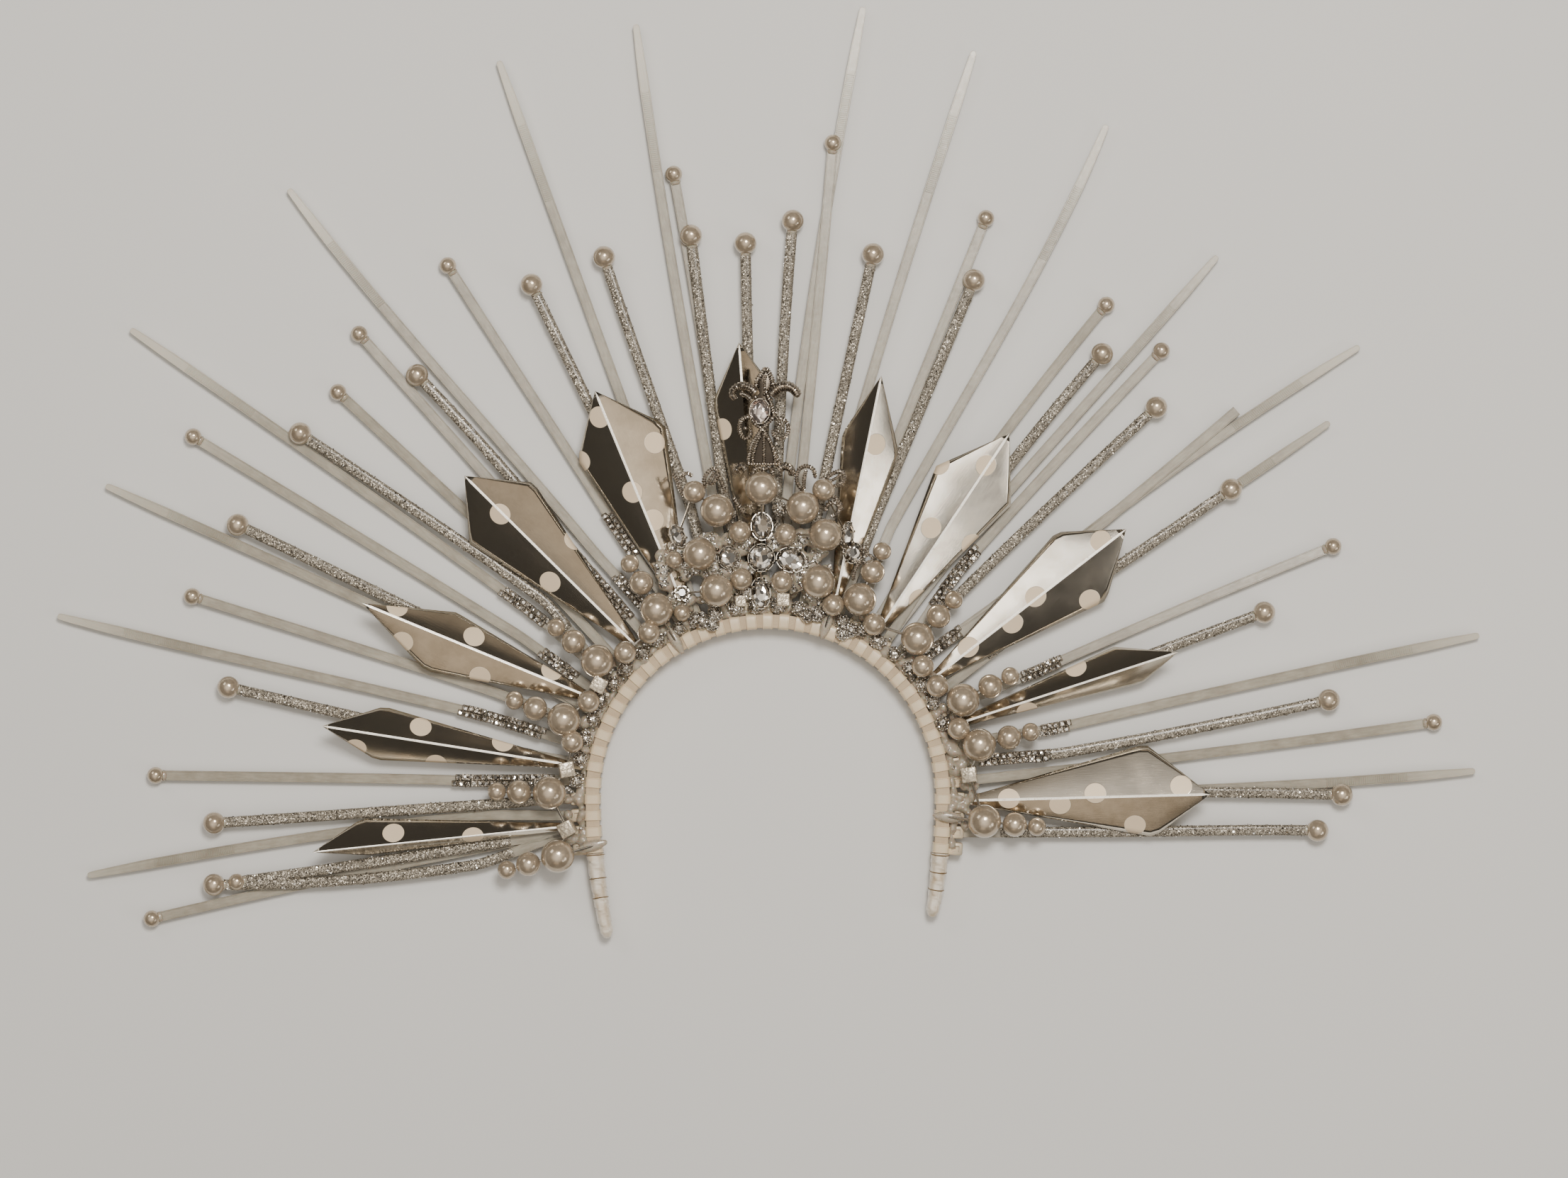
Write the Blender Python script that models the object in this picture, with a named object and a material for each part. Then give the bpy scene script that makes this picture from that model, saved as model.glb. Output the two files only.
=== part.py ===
"""A halo crown: cable ties looped round a headband, with folded card fins, wired beads and cut stones.

Metres, +Z up. The crown lies on its back, with its front facing up and its top towards +Y. Shapes are placed
about the centre of the headband's arch, and set_down moves the whole crown onto the floor at the end.
"""

import math

import bmesh
import bpy
from mathutils import Matrix, Vector

# Headband: an arch and two legs that turn inwards
CLEARANCE = 0.0003
ARCH_RADIUS = 0.0814
BAND_THICKNESS = 0.0045
BAND_DEPTH = 0.010
LEG_BEND_RADIUS = 0.31
LEFT_LEG = 0.066
RIGHT_LEG = 0.056
LEG_END_SHARE = 0.55
LEG_TAPER_LENGTH = 0.020
ARCH_SECTIONS = 26
LEG_SECTIONS = 6

# Cable ties: loop, head and tail
TIE_COUNT = 41
TIE_WIDTH = 0.0047
TIE_THICKNESS = 0.0013
HEAD_CHEEK = 0.0006
HEAD_LENGTH = 0.0070
HEAD_DEPTH = 0.0060
LOOPED_LEG = 0.024
TAIL_EXIT = 0.003
FOOT_RADIUS = 0.140
TIP_TAPER_LENGTH = 0.030
TIP_WIDTH = 0.0022
TIP_THICKNESS = 0.0008
SLEEVE_WIDTH = 0.0052
SLEEVE_THICKNESS = 0.0031
STRAP_IN_SLEEVE = 0.1
SLEEVE_SIDES = 6
TAIL_STEPS = 2
CROSSING_STEP = 0.0004

# Furthest reach of each kind of ray, from the arch's centre
REACH = {"long": 0.3703, "pearled": 0.3158, "glitter": 0.2772, "blob": 0.2505, "cut": 0.2828}

# Beads, by the width of each kind
SMALL_BEAD = 0.0080
MEDIUM_BEAD = 0.0105
LARGE_BEAD = 0.0155
CUBE = 0.0080
WIRE = 0.0012
WIRE_SIDES = 4
BEAD_SIDES = 10

# Card fins
FIN_REACH = 0.2120
FIN_FOOT_RADIUS = 0.0920
FIN_FOOT_WIDTH = 0.0030
FIN_FOOT_RISE = 0.0008
FIN_TIP_RISE = 0.0115
FIN_CARD = 0.0010

# Garlands along the outer side of the band
GARLAND_RADIUS = 0.0940
LARGE_BEAD_RADIUS = 0.1010
BEAD_SPACING = 0.0012
BRANCH_DROP = 0.0020

# Centre cluster and the ornament above it
CLUSTER_REACH = 0.1453
STONE_HEIGHT = 0.0065
STONE_SIDES = 8
ORNAMENT_RADIUS = 0.1505
ORNAMENT_SEAT = 0.62
ORNAMENT_ANGLE = 90.2
ORNAMENT_LENGTH = 0.0490
ORNAMENT_PLATE = 0.0024
ORNAMENT_WIRE = 0.0026
ORNAMENT_SIDES = 5

# What follows from the sizes above
LOOP_DEPTH = BAND_DEPTH + 2 * (CLEARANCE + TIE_THICKNESS)
LOOP_SPAN = BAND_THICKNESS + 2 * (CLEARANCE + TIE_THICKNESS)
BAND_LEVEL = LOOP_DEPTH / 2
HEAD_FRONT = BAND_LEVEL + HEAD_DEPTH / 2
PLAIN_LEVEL = SMALL_BEAD / 2
SLEEVE_LEVEL = PLAIN_LEVEL + TIE_THICKNESS / 2 + CLEARANCE + SLEEVE_THICKNESS / 2
FIN_BACK = SLEEVE_LEVEL + SLEEVE_THICKNESS / 2 + CLEARANCE
FIN_FOOT = HEAD_FRONT + CLEARANCE + FIN_FOOT_RISE
BEAD_BACK = FIN_FOOT + FIN_CARD + 2 * CLEARANCE
RIDGE_SLOPE = (FIN_BACK + FIN_TIP_RISE - FIN_FOOT) / (FIN_REACH - FIN_FOOT_RADIUS)

# One row for each tail: the tie it belongs to, its kind, its angle in degrees at the foot, half way and at
# the tip, and its reach as a share of its kind's. Angles run anticlockwise from +X, seen from the front. A tie
# without a row is trimmed off short at its head.
RAYS = (
    (2, "pearled", 190.4, 190.8, 191.3, 0.927),
    (2, "glitter", 193.3, 191.3, 189.1, 0.942),
    (2, "blob", 189.8, 189.5, 189.2, 1.000),
    (3, "long", 183.9, 185.4, 186.7, 0.862),
    (4, "glitter", 181.9, 182.5, 182.8, 0.931),
    (5, "pearled", 177.1, 177.7, 178.1, 0.904),
    (6, "glitter", 169.8, 169.1, 168.6, 0.924),
    (7, "long", 164.2, 165.4, 165.8, 0.922),
    (8, "pearled", 159.3, 160.3, 160.9, 0.899),
    (9, "long", 153.9, 154.5, 154.9, 0.920),
    (9, "glitter", 152.0, 152.5, 152.9, 1.000),
    (10, "pearled", 147.2, 147.7, 148.0, 1.000),
    (11, "long", 142.1, 143.1, 143.8, 0.994),
    (11, "glitter", 138.9, 140.9, 142.2, 0.994),
    (12, "pearled", 136.5, 136.7, 136.8, 0.870),
    (13, "pearled", 131.3, 131.4, 131.5, 0.910),
    (14, "glitter", 128.5, 129.0, 129.8, 0.920),
    (15, "long", 125.4, 127.8, 128.3, 0.973),
    (16, "pearled", 119.4, 120.5, 121.1, 0.914),
    (17, "long", 110.2, 110.2, 110.1, 0.985),
    (17, "glitter", 114.2, 114.5, 114.8, 0.946),
    (18, "glitter", 105.0, 106.3, 106.9, 0.946),
    (19, "long", 100.4, 100.2, 99.7, 0.985),
    (20, "pearled", 98.0, 98.2, 98.6, 0.928),
    (20, "glitter", 98.2, 98.0, 97.8, 0.950),
    (21, "glitter", 92.8, 92.6, 92.3, 0.929),
    (22, "long", 86.3, 84.5, 83.1, 1.000),
    (22, "pearled", 83.9, 84.1, 84.3, 0.968),
    (22, "glitter", 88.3, 88.0, 87.5, 0.967),
    (23, "long", 77.0, 75.5, 74.5, 0.973),
    (23, "glitter", 80.0, 79.4, 79.0, 0.927),
    (25, "pearled", 70.4, 69.7, 69.3, 0.911),
    (25, "glitter", 68.8, 68.4, 68.2, 0.933),
    (26, "long", 65.3, 63.1, 63.2, 0.946),
    (27, "pearled", 58.0, 56.7, 55.4, 0.880),
    (28, "long", 52.4, 50.9, 50.2, 0.884),
    (28, "glitter", 54.2, 53.7, 52.9, 0.931),
    (29, "pearled", 49.7, 49.1, 48.5, 0.877),
    (29, "glitter", 46.3, 45.6, 45.0, 0.923),
    (30, "long", 39.9, 38.8, 37.2, 0.935),
    (30, "cut", 39.2, 39.2, 39.4, 1.000),
    (32, "long", 33.1, 33.4, 33.6, 0.849),
    (32, "glitter", 33.1, 33.3, 33.5, 0.933),
    (33, "pearled", 24.8, 24.3, 23.8, 0.912),
    (34, "glitter", 20.3, 20.3, 20.3, 0.889),
    (35, "long", 13.2, 13.0, 12.7, 0.918),
    (36, "glitter", 8.3, 9.0, 9.7, 0.956),
    (37, "pearled", 5.0, 5.7, 6.3, 0.989),
    (38, "long", 0.4, 1.1, 2.0, 0.891),
    (38, "glitter", 0.6, 0.5, 0.1, 0.964),
    (40, "glitter", -6.9, -4.7, -3.6, 0.925),
)

# One row for each fin: its foot's angle, then the angle and the share of FIN_REACH of its tip, of its left
# shoulder and of its right shoulder
FINS = (
    (188.6, 186.9, 1.000, 188.4, 0.885, 183.1, 0.891),
    (170.9, 170.9, 0.984, 174.7, 0.864, 166.8, 0.864),
    (150.6, 154.4, 0.981, 159.9, 0.799, 149.4, 0.793),
    (131.1, 133.3, 0.964, 139.7, 0.858, 126.7, 0.858),
    (113.9, 113.0, 0.963, 119.5, 0.847, 105.4, 0.847),
    (93.0, 93.6, 0.994, 97.9, 0.874, 89.5, 0.903),
    (70.5, 74.9, 0.953, 78.4, 0.813, 68.9, 0.802),
    (56.2, 56.4, 0.953, 63.0, 0.813, 50.1, 0.832),
    (35.5, 36.8, 0.977, 42.5, 0.858, 30.0, 0.858),
    (21.0, 19.5, 0.950, 23.4, 0.826, 16.8, 0.858),
    (-1.2, 0.4, 0.966, 7.9, 0.836, -6.0, 0.852),
)

# The beads of each garland in the order of their wire: kind and angle. A large one carries a branch of two.
GARLANDS = {
    "left": (
        ("large", 195.7),
        ("cube", 188.9),
        ("large", 178.9),
        ("cube", 172.2),
        ("medium", 164.2),
        ("large", 159.2),
        ("medium", 151.9),
        ("cube", 146.3),
        ("large", 141.4),
        ("medium", 134.6),
        ("medium", 125.8),
        ("large", 120.6),
    ),
    "right": (
        ("medium", 71.2),
        ("large", 65.0),
        ("medium", 58.4),
        ("large", 46.6),
        ("medium", 40.2),
        ("medium", 33.2),
        ("large", 26.4),
        ("medium", 19.7),
        ("large", 13.8),
        ("cube", 6.4),
        ("large", -6.4),
    ),
}

# The cluster's beads and stones in the order of their wire: kind, angle and share of CLUSTER_REACH
CLUSTER = (
    ("small", 114.9, 0.648),
    ("pear", 112.8, 0.705),
    ("large", 103.9, 0.679),
    ("large", 105.6, 0.804),
    ("small", 111.5, 0.813),
    ("pear", 109.0, 0.879),
    ("medium", 103.5, 1.000),
    ("large", 100.0, 0.927),
    ("medium", 96.0, 0.849),
    ("oval", 99.1, 0.773),
    ("cube", 98.1, 0.631),
    ("medium", 96.9, 0.700),
    ("drop", 92.0, 0.650),
    ("oval", 91.5, 0.763),
    ("round", 91.2, 0.863),
    ("large", 91.1, 0.983),
    ("large", 83.1, 0.929),
    ("medium", 79.7, 0.995),
    ("navette", 73.0, 0.869),
    ("round", 70.6, 0.825),
    ("large", 77.6, 0.855),
    ("medium", 86.1, 0.838),
    ("navette", 84.3, 0.760),
    ("medium", 86.2, 0.688),
    ("cube", 85.7, 0.631),
    ("large", 76.8, 0.705),
)

# Cut stones: width across the crown's radius, length along it, and turn in degrees
STONES = {
    "round": (0.0110, 0.0110, 0.0),
    "oval": (0.0105, 0.0130, 0.0),
    "navette": (0.0075, 0.0150, 75.0),
    "pear": (0.0070, 0.0130, 10.0),
    "drop": (0.0075, 0.0140, 0.0),
}

# Sections of a cut stone from its point to its table: height as a share of STONE_HEIGHT and share of its width
STONE_SECTIONS = ((-0.42, 0.30), (-0.06, 1.00), (0.06, 1.00), (0.34, 0.62))

# A flat strap's or a box's corners, in halves of its sizes
FLAT_CORNERS = ((-1, -1), (1, -1), (1, 1), (-1, 1))

# Shares of ORNAMENT_LENGTH, along it and to the side: the leaf's outline and the bent wires of one side
LEAF_OUTLINE = ((0.00, 0.03), (0.30, 0.05), (0.52, 0.15), (0.70, 0.15), (0.86, 0.08), (1.00, 0.01))
ORNAMENT_BAR = (0.27, 0.18, 0.07)
ARM = ((0.27, 0.05), (0.45, 0.11), (0.62, 0.21), (0.68, 0.30), (0.60, 0.36), (0.51, 0.33), (0.52, 0.26))
SCROLL = ((0.25, 0.05), (0.14, 0.14), (0.05, 0.23), (0.08, 0.30), (0.16, 0.28))


def make_finish(name, colour, roughness, metallic=0.0, transmission=0.0):
    finish = bpy.data.materials.new(name)
    finish.use_nodes = True
    shader = finish.node_tree.nodes["Principled BSDF"]
    shader.inputs["Base Color"].default_value = (*colour, 1.0)
    shader.inputs["Roughness"].default_value = roughness
    shader.inputs["Metallic"].default_value = metallic
    shader.inputs["Transmission Weight"].default_value = transmission
    finish.diffuse_color = (*colour, 1.0)
    return finish


def to_object(name, shape, finish):
    """An object from a bmesh, which is used up."""
    mesh = bpy.data.meshes.new(name)
    bmesh.ops.recalc_face_normals(shape, faces=shape.faces)
    shape.to_mesh(mesh)
    shape.free()
    mesh.materials.append(finish)
    piece = bpy.data.objects.new(name, mesh)
    bpy.context.scene.collection.objects.link(piece)
    return piece


def fuse(name, shapes, finish):
    """One object from closed shapes that overlap, joined by Boolean unions."""
    pieces = [to_object(f"{name}_shape_{count}", shape, finish) for count, shape in enumerate(shapes)]
    body = pieces[0]
    for piece in pieces[1:]:
        union = body.modifiers.new("union", "BOOLEAN")
        union.operation = "UNION"
        union.solver = "EXACT"
        union.object = piece
    graph = bpy.context.evaluated_depsgraph_get()
    mesh = bpy.data.meshes.new_from_object(body.evaluated_get(graph))
    for piece in pieces:
        bpy.data.objects.remove(piece)
    mesh.name = name
    fused = bpy.data.objects.new(name, mesh)
    bpy.context.scene.collection.objects.link(fused)
    return fused


def loft(rings, closed=False):
    """A solid through rings of points that run the same way round. A closed one comes back to its first."""
    shape = bmesh.new()
    loops = [[shape.verts.new(point) for point in ring] for ring in rings]
    following = loops[1:] + loops[:1] if closed else loops[1:]
    for near, far in zip(loops, following):
        for first in range(len(near)):
            second = (first + 1) % len(near)
            shape.faces.new((near[first], near[second], far[second], far[first]))
    if not closed:
        shape.faces.new(loops[0])
        shape.faces.new(loops[-1])
    return shape


def polar(angle, radius, height=0.0):
    """A point by its angle in degrees and its radius about the arch's centre."""
    return Vector((radius * math.cos(math.radians(angle)), radius * math.sin(math.radians(angle)), height))


def through(low, middle, high, share):
    """The smooth value that passes low at 0, middle at a half and high at 1."""
    return (
        low * (1 - share) * (1 - 2 * share)
        + middle * 4 * share * (1 - share)
        + high * share * (2 * share - 1)
    )


def smooth(points, share):
    """A point on the smooth curve through points, by its share of the way."""
    place = share * (len(points) - 1)
    first = min(int(place), len(points) - 2)
    t = place - first
    a, b, c, d = (points[max(0, min(len(points) - 1, first + step))] for step in (-1, 0, 1, 2))
    return 0.5 * (2 * b + (c - a) * t + (2 * a - 5 * b + 4 * c - d) * t**2 + (3 * b - a - 3 * c + d) * t**3)


def band_frame(along):
    """Centre, tangent and outward normal of the band's middle line, by the way from its top towards -X."""
    quarter = ARCH_RADIUS * math.pi / 2
    side = 1 if along >= 0 else -1
    past = abs(along) - quarter
    if past <= 0:
        turn = along / ARCH_RADIUS
        outward = Vector((-math.sin(turn), math.cos(turn), 0.0))
        return outward * ARCH_RADIUS, Vector((-outward.y, outward.x, 0.0)), outward
    turn = past / LEG_BEND_RADIUS
    outward = Vector((-side * math.cos(turn), -math.sin(turn), 0.0))
    centre = Vector((side * (LEG_BEND_RADIUS - ARCH_RADIUS), 0.0, 0.0))
    return centre + outward * LEG_BEND_RADIUS, Vector((-outward.y, outward.x, 0.0)), outward


def block(centre, along, outward, sizes):
    """A box by its sizes along the band, outwards and upwards."""
    shape = bmesh.new()
    bmesh.ops.create_cube(shape, size=1.0)
    bmesh.ops.scale(shape, vec=sizes, verts=shape.verts)
    turn = Matrix((along, outward, Vector((0, 0, 1)))).transposed().to_4x4()
    bmesh.ops.transform(shape, matrix=Matrix.Translation(centre) @ turn, verts=shape.verts)
    return shape


def strip(centres, widths, thicknesses, corners):
    """A strap or sleeve that lies flat along its centres. Its corners are given in halves of its sizes."""
    rings = []
    for place, (centre, width, thickness) in enumerate(zip(centres, widths, thicknesses)):
        before = centres[max(0, place - 1)]
        after = centres[min(len(centres) - 1, place + 1)]
        run = (after - before).normalized()
        across = Vector((-run.y, run.x, 0.0)).normalized()
        rise = across.cross(-run)
        rings.append([centre + across * u * width / 2 + rise * v * thickness / 2 for u, v in corners])
    return loft(rings)


def round_corners(sides):
    return [(math.cos(2 * math.pi * k / sides), math.sin(2 * math.pi * k / sides)) for k in range(sides)]


def wire(points, width, sides):
    """A round wire or rod through points, with a ring of corners at each."""
    rings = []
    for place, point in enumerate(points):
        run = points[min(len(points) - 1, place + 1)] - points[max(0, place - 1)]
        turn = run.to_track_quat("Z", "Y").to_matrix()
        rings.append([point + turn @ Vector((u, v, 0.0)) * width / 2 for u, v in round_corners(sides)])
    return loft(rings)


def ball(centre, width):
    """A round bead, with one ring more on the largest ones."""
    shape = bmesh.new()
    rings = BEAD_SIDES // 2 - (0 if width > MEDIUM_BEAD else 1)
    bmesh.ops.create_uvsphere(shape, u_segments=BEAD_SIDES, v_segments=rings, radius=width / 2)
    bmesh.ops.translate(shape, vec=centre, verts=shape.verts)
    return shape


def cut_stone(kind, centre, angle):
    """A stone with a table, eight crown facets and a pavilion, turned to face the front."""
    width, length, turn = STONES[kind]
    rings = []
    for height, share in STONE_SECTIONS:
        ring = []
        for u, v in round_corners(STONE_SIDES):
            ring.append(Vector((u * share * length / 2, v * share * width / 2, height * STONE_HEIGHT)))
        rings.append(ring)
    shape = loft(rings)
    place = Matrix.Translation(centre) @ Matrix.Rotation(math.radians(angle + turn), 4, "Z")
    bmesh.ops.transform(shape, matrix=place, verts=shape.verts)
    return shape


def bead_width(kind):
    return {"small": SMALL_BEAD, "medium": MEDIUM_BEAD, "large": LARGE_BEAD}[kind]


def make_headband(finish):
    quarter = ARCH_RADIUS * math.pi / 2
    sections = [quarter * (2 * k / ARCH_SECTIONS - 1) for k in range(ARCH_SECTIONS + 1)]
    for count in range(1, LEG_SECTIONS + 1):
        sections.append(quarter + LEFT_LEG * count / LEG_SECTIONS)
        sections.insert(0, -quarter - RIGHT_LEG * count / LEG_SECTIONS)
    rings = []
    for along in sections:
        centre, _, outward = band_frame(along)
        end = quarter + (LEFT_LEG if along > 0 else RIGHT_LEG)
        narrowed = max(0.0, 1 - (end - abs(along)) / LEG_TAPER_LENGTH)
        share = 1 - (1 - LEG_END_SHARE) * narrowed
        across = outward * share * BAND_THICKNESS / 2
        upward = Vector((0, 0, share * BAND_DEPTH / 2))
        middle = centre + Vector((0, 0, BAND_LEVEL))
        rings.append([middle + across * u + upward * v for u, v in FLAT_CORNERS])
    return to_object("headband", loft(rings), finish)


def make_loop(centre, along, outward):
    """The tie's own loop, square round the band."""
    rings = []
    for u, v in FLAT_CORNERS:
        ring = []
        for side, wall in ((-1, 0), (1, 0), (1, 1), (-1, 1)):
            reach = LOOP_SPAN / 2 - TIE_THICKNESS * (1 - wall)
            depth = LOOP_DEPTH / 2 - TIE_THICKNESS * (1 - wall)
            corner = outward * u * reach + Vector((0, 0, v * depth))
            ring.append(centre + corner + along * side * TIE_WIDTH / 2)
        rings.append(ring)
    return loft(rings, closed=True)


def make_tail(start, outward, kind, angles, reach_share, step_up):
    """The shapes of one tail, from inside its head to its tip. A second plain tail lies a step higher."""
    reach = REACH[kind] * reach_share
    sleeved = kind in ("glitter", "blob")
    level = SLEEVE_LEVEL if sleeved else PLAIN_LEVEL + step_up
    last = reach - TIP_TAPER_LENGTH if kind == "long" else reach
    run = []
    for step in range(TAIL_STEPS + 1):
        radius = FOOT_RADIUS + (last - FOOT_RADIUS) * step / TAIL_STEPS
        share = (radius - FOOT_RADIUS) / (reach - FOOT_RADIUS)
        run.append(polar(through(*angles, share), radius, level))
    root = [start, start + outward * (HEAD_LENGTH / 2 + TAIL_EXIT)]
    centres = root + (run[:1] + [run[0].lerp(run[1], STRAP_IN_SLEEVE)] if sleeved else run)
    widths = [TIE_WIDTH] * len(centres)
    thicknesses = [TIE_THICKNESS] * len(centres)
    if kind == "long":
        centres.append(polar(angles[2], reach, level))
        widths.append(TIP_WIDTH)
        thicknesses.append(TIP_THICKNESS)
    shapes = [strip(centres, widths, thicknesses, FLAT_CORNERS)]
    if sleeved:
        count = len(run)
        sleeve = round_corners(SLEEVE_SIDES)
        shapes.append(strip(run, [SLEEVE_WIDTH] * count, [SLEEVE_THICKNESS] * count, sleeve))
    if kind in ("glitter", "pearled", "blob"):
        shapes.append(ball(run[-1], MEDIUM_BEAD if kind == "glitter" else SMALL_BEAD))
    return shapes


def make_ties(finish):
    furthest = ARCH_RADIUS * math.pi / 2 + LOOPED_LEG
    for node in range(1, TIE_COUNT + 1):
        along = furthest * (1 - 2 * (node - 1) / (TIE_COUNT - 1))
        centre, tangent, outward = band_frame(along)
        centre = centre + Vector((0, 0, BAND_LEVEL))
        head = centre + outward * (LOOP_SPAN / 2 - TIE_THICKNESS / 2 + HEAD_LENGTH / 2)
        shapes = [make_loop(centre, tangent, outward)]
        shapes.append(block(head, tangent, outward, (TIE_WIDTH + 2 * HEAD_CHEEK, HEAD_LENGTH, HEAD_DEPTH)))
        tails = [row[1:] for row in RAYS if row[0] == node]
        for place, (kind, foot, waist, tip, share) in enumerate(tails):
            shapes += make_tail(head, outward, kind, (foot, waist, tip), share, place * CROSSING_STEP)
        fuse(f"tie_{node:02d}", shapes, finish)


def make_fin(name, row, finish):
    """A kite of card folded along the line from foot to tip, its outer edges lying back."""
    foot_angle, tip_angle, tip_share, left_angle, left_share, right_angle, right_share = row
    foot = polar(foot_angle, FIN_FOOT_RADIUS, FIN_FOOT - FIN_FOOT_RISE)
    aside = polar(foot_angle + 90, FIN_FOOT_WIDTH / 2)
    outline = [
        foot + Vector((0, 0, FIN_FOOT_RISE)),
        foot + aside,
        polar(left_angle, left_share * FIN_REACH, FIN_BACK),
        polar(tip_angle, tip_share * FIN_REACH, FIN_BACK + FIN_TIP_RISE),
        polar(right_angle, right_share * FIN_REACH, FIN_BACK),
        foot - aside,
    ]
    shape = bmesh.new()
    ridge, left_foot, left, tip, right, right_foot = (shape.verts.new(point) for point in outline)
    faces = [
        shape.faces.new(corners)
        for corners in (
            (ridge, left_foot, left),
            (ridge, left, tip),
            (ridge, tip, right),
            (ridge, right, right_foot),
        )
    ]
    raised = bmesh.ops.extrude_face_region(shape, geom=faces, use_keep_orig=True)["geom"]
    upper = [item for item in raised if isinstance(item, bmesh.types.BMVert)]
    bmesh.ops.translate(shape, vec=(0, 0, FIN_CARD), verts=upper)
    return to_object(name, shape, finish)


def make_beads(beads):
    """The shapes of one string of beads: the beads, and the wire through each one and the next."""
    shapes = []
    for kind, centre, angle in beads:
        if kind in STONES:
            shapes.append(cut_stone(kind, centre, angle))
        elif kind == "cube":
            outward = polar(angle, 1.0)
            shapes.append(block(centre, polar(angle - 90, 1.0), outward, (CUBE, CUBE, CUBE)))
        else:
            shapes.append(ball(centre, bead_width(kind)))
    shapes += [wire((near[1], far[1]), WIRE, WIRE_SIDES) for near, far in zip(beads, beads[1:])]
    return shapes


def wire_ends(beads):
    """The two ends of a string's wire, from its first and last bead in over the loops on the band."""
    over = LOOP_DEPTH + CLEARANCE + WIRE / 2
    ends = (beads[0], beads[-1])
    return [wire((polar(angle, ARCH_RADIUS, over), centre), WIRE, WIRE_SIDES) for _, centre, angle in ends]


def make_garland(name, rows, finish):
    height = BEAD_BACK + MEDIUM_BEAD / 2
    medium_radius = LARGE_BEAD_RADIUS + (LARGE_BEAD + MEDIUM_BEAD) / 2 + BEAD_SPACING
    small_radius = medium_radius + (MEDIUM_BEAD + SMALL_BEAD) / 2 + BEAD_SPACING
    main = []
    shapes = []
    for kind, angle in rows:
        radius = LARGE_BEAD_RADIUS if kind == "large" else GARLAND_RADIUS
        bead = (kind, polar(angle, radius, height), angle)
        main.append(bead)
        if kind == "large":
            middle = ("medium", polar(angle, medium_radius, height - BRANCH_DROP), angle)
            outer = ("small", polar(angle, small_radius, height - 2 * BRANCH_DROP), angle)
            shapes += make_beads([bead, middle, outer])[1:]
    return fuse(name, make_beads(main) + wire_ends(main) + shapes, finish)


def make_cluster(finish):
    """The cluster lies over the ridges of the fins behind it and rises with them."""
    beads = []
    for kind, angle, share in CLUSTER:
        depth = STONE_HEIGHT if kind in STONES else CUBE if kind == "cube" else bead_width(kind)
        radius = share * CLUSTER_REACH
        height = BEAD_BACK + RIDGE_SLOPE * (radius - FIN_FOOT_RADIUS) + depth / 2
        beads.append((kind, polar(angle, radius, height), angle))
    return fuse("centre_cluster", make_beads(beads) + wire_ends(beads), finish)


def make_ornament(finish):
    """A fleur-de-lis: a leaf, a bar across it, two arms and two scrolls, one arm on the ridge of a fin."""
    way_out = ORNAMENT_RADIUS + ORNAMENT_SEAT * ORNAMENT_LENGTH - FIN_FOOT_RADIUS
    level = FIN_FOOT + RIDGE_SLOPE * way_out + FIN_CARD + CLEARANCE + ORNAMENT_WIRE / 2
    outline = list(LEAF_OUTLINE) + [(u, -v) for u, v in reversed(LEAF_OUTLINE)]
    rings = []
    for side in (-1, 1):
        height = Vector((0, 0, side * ORNAMENT_PLATE / 2))
        rings.append([Vector((u, v, 0)) * ORNAMENT_LENGTH + height for u, v in outline])
    place, half, width = (share * ORNAMENT_LENGTH for share in ORNAMENT_BAR)
    bar = (width, 2 * half, ORNAMENT_WIRE)
    shapes = [loft(rings), block(Vector((place, 0, 0)), Vector((1, 0, 0)), Vector((0, 1, 0)), bar)]
    for side in (-1, 1):
        for route in (ARM, SCROLL):
            points = [Vector((u, side * v, 0)) * ORNAMENT_LENGTH for u, v in route]
            steps = len(route) + 1
            curve = [smooth(points, step / steps) for step in range(steps + 1)]
            shapes.append(wire(curve, ORNAMENT_WIRE, ORNAMENT_SIDES))
    where = Matrix.Translation(polar(ORNAMENT_ANGLE, ORNAMENT_RADIUS, level))
    turn = Matrix.Rotation(math.radians(ORNAMENT_ANGLE), 4, "Z")
    for shape in shapes:
        bmesh.ops.transform(shape, matrix=where @ turn, verts=shape.verts)
    return fuse("fleur_ornament", shapes, finish)


def set_down(pieces):
    """Moves the crown so that the middle of its box is over the origin and its back is on the floor."""
    points = [vertex.co for piece in pieces for vertex in piece.data.vertices]
    low = Vector([min(point[axis] for point in points) for axis in range(3)])
    high = Vector([max(point[axis] for point in points) for axis in range(3)])
    for piece in pieces:
        piece.location = (-(low.x + high.x) / 2, -(low.y + high.y) / 2, -low.z)


for leftover in list(bpy.data.objects):
    bpy.data.objects.remove(leftover)

cover = make_finish("cream_cover", (0.80, 0.76, 0.68), 0.75)
nylon = make_finish("natural_nylon", (0.84, 0.79, 0.66), 0.35, transmission=0.3)
mirror_card = make_finish("mirror_card", (0.86, 0.87, 0.88), 0.08, metallic=1.0)
pearl = make_finish("champagne_pearl", (0.86, 0.79, 0.70), 0.22)
old_silver = make_finish("old_silver", (0.52, 0.50, 0.46), 0.35, metallic=1.0)

make_headband(cover)
make_ties(nylon)
for number, fin_row in enumerate(FINS, start=1):
    make_fin(f"fin_{number:02d}", fin_row, mirror_card)
for hand, bead_rows in GARLANDS.items():
    make_garland(f"bead_garland_{hand}", bead_rows, pearl)
make_cluster(pearl)
make_ornament(old_silver)
set_down(list(bpy.context.scene.objects))
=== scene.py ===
import math
import random

import bmesh
import bpy
from mathutils import Matrix, Vector


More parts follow.
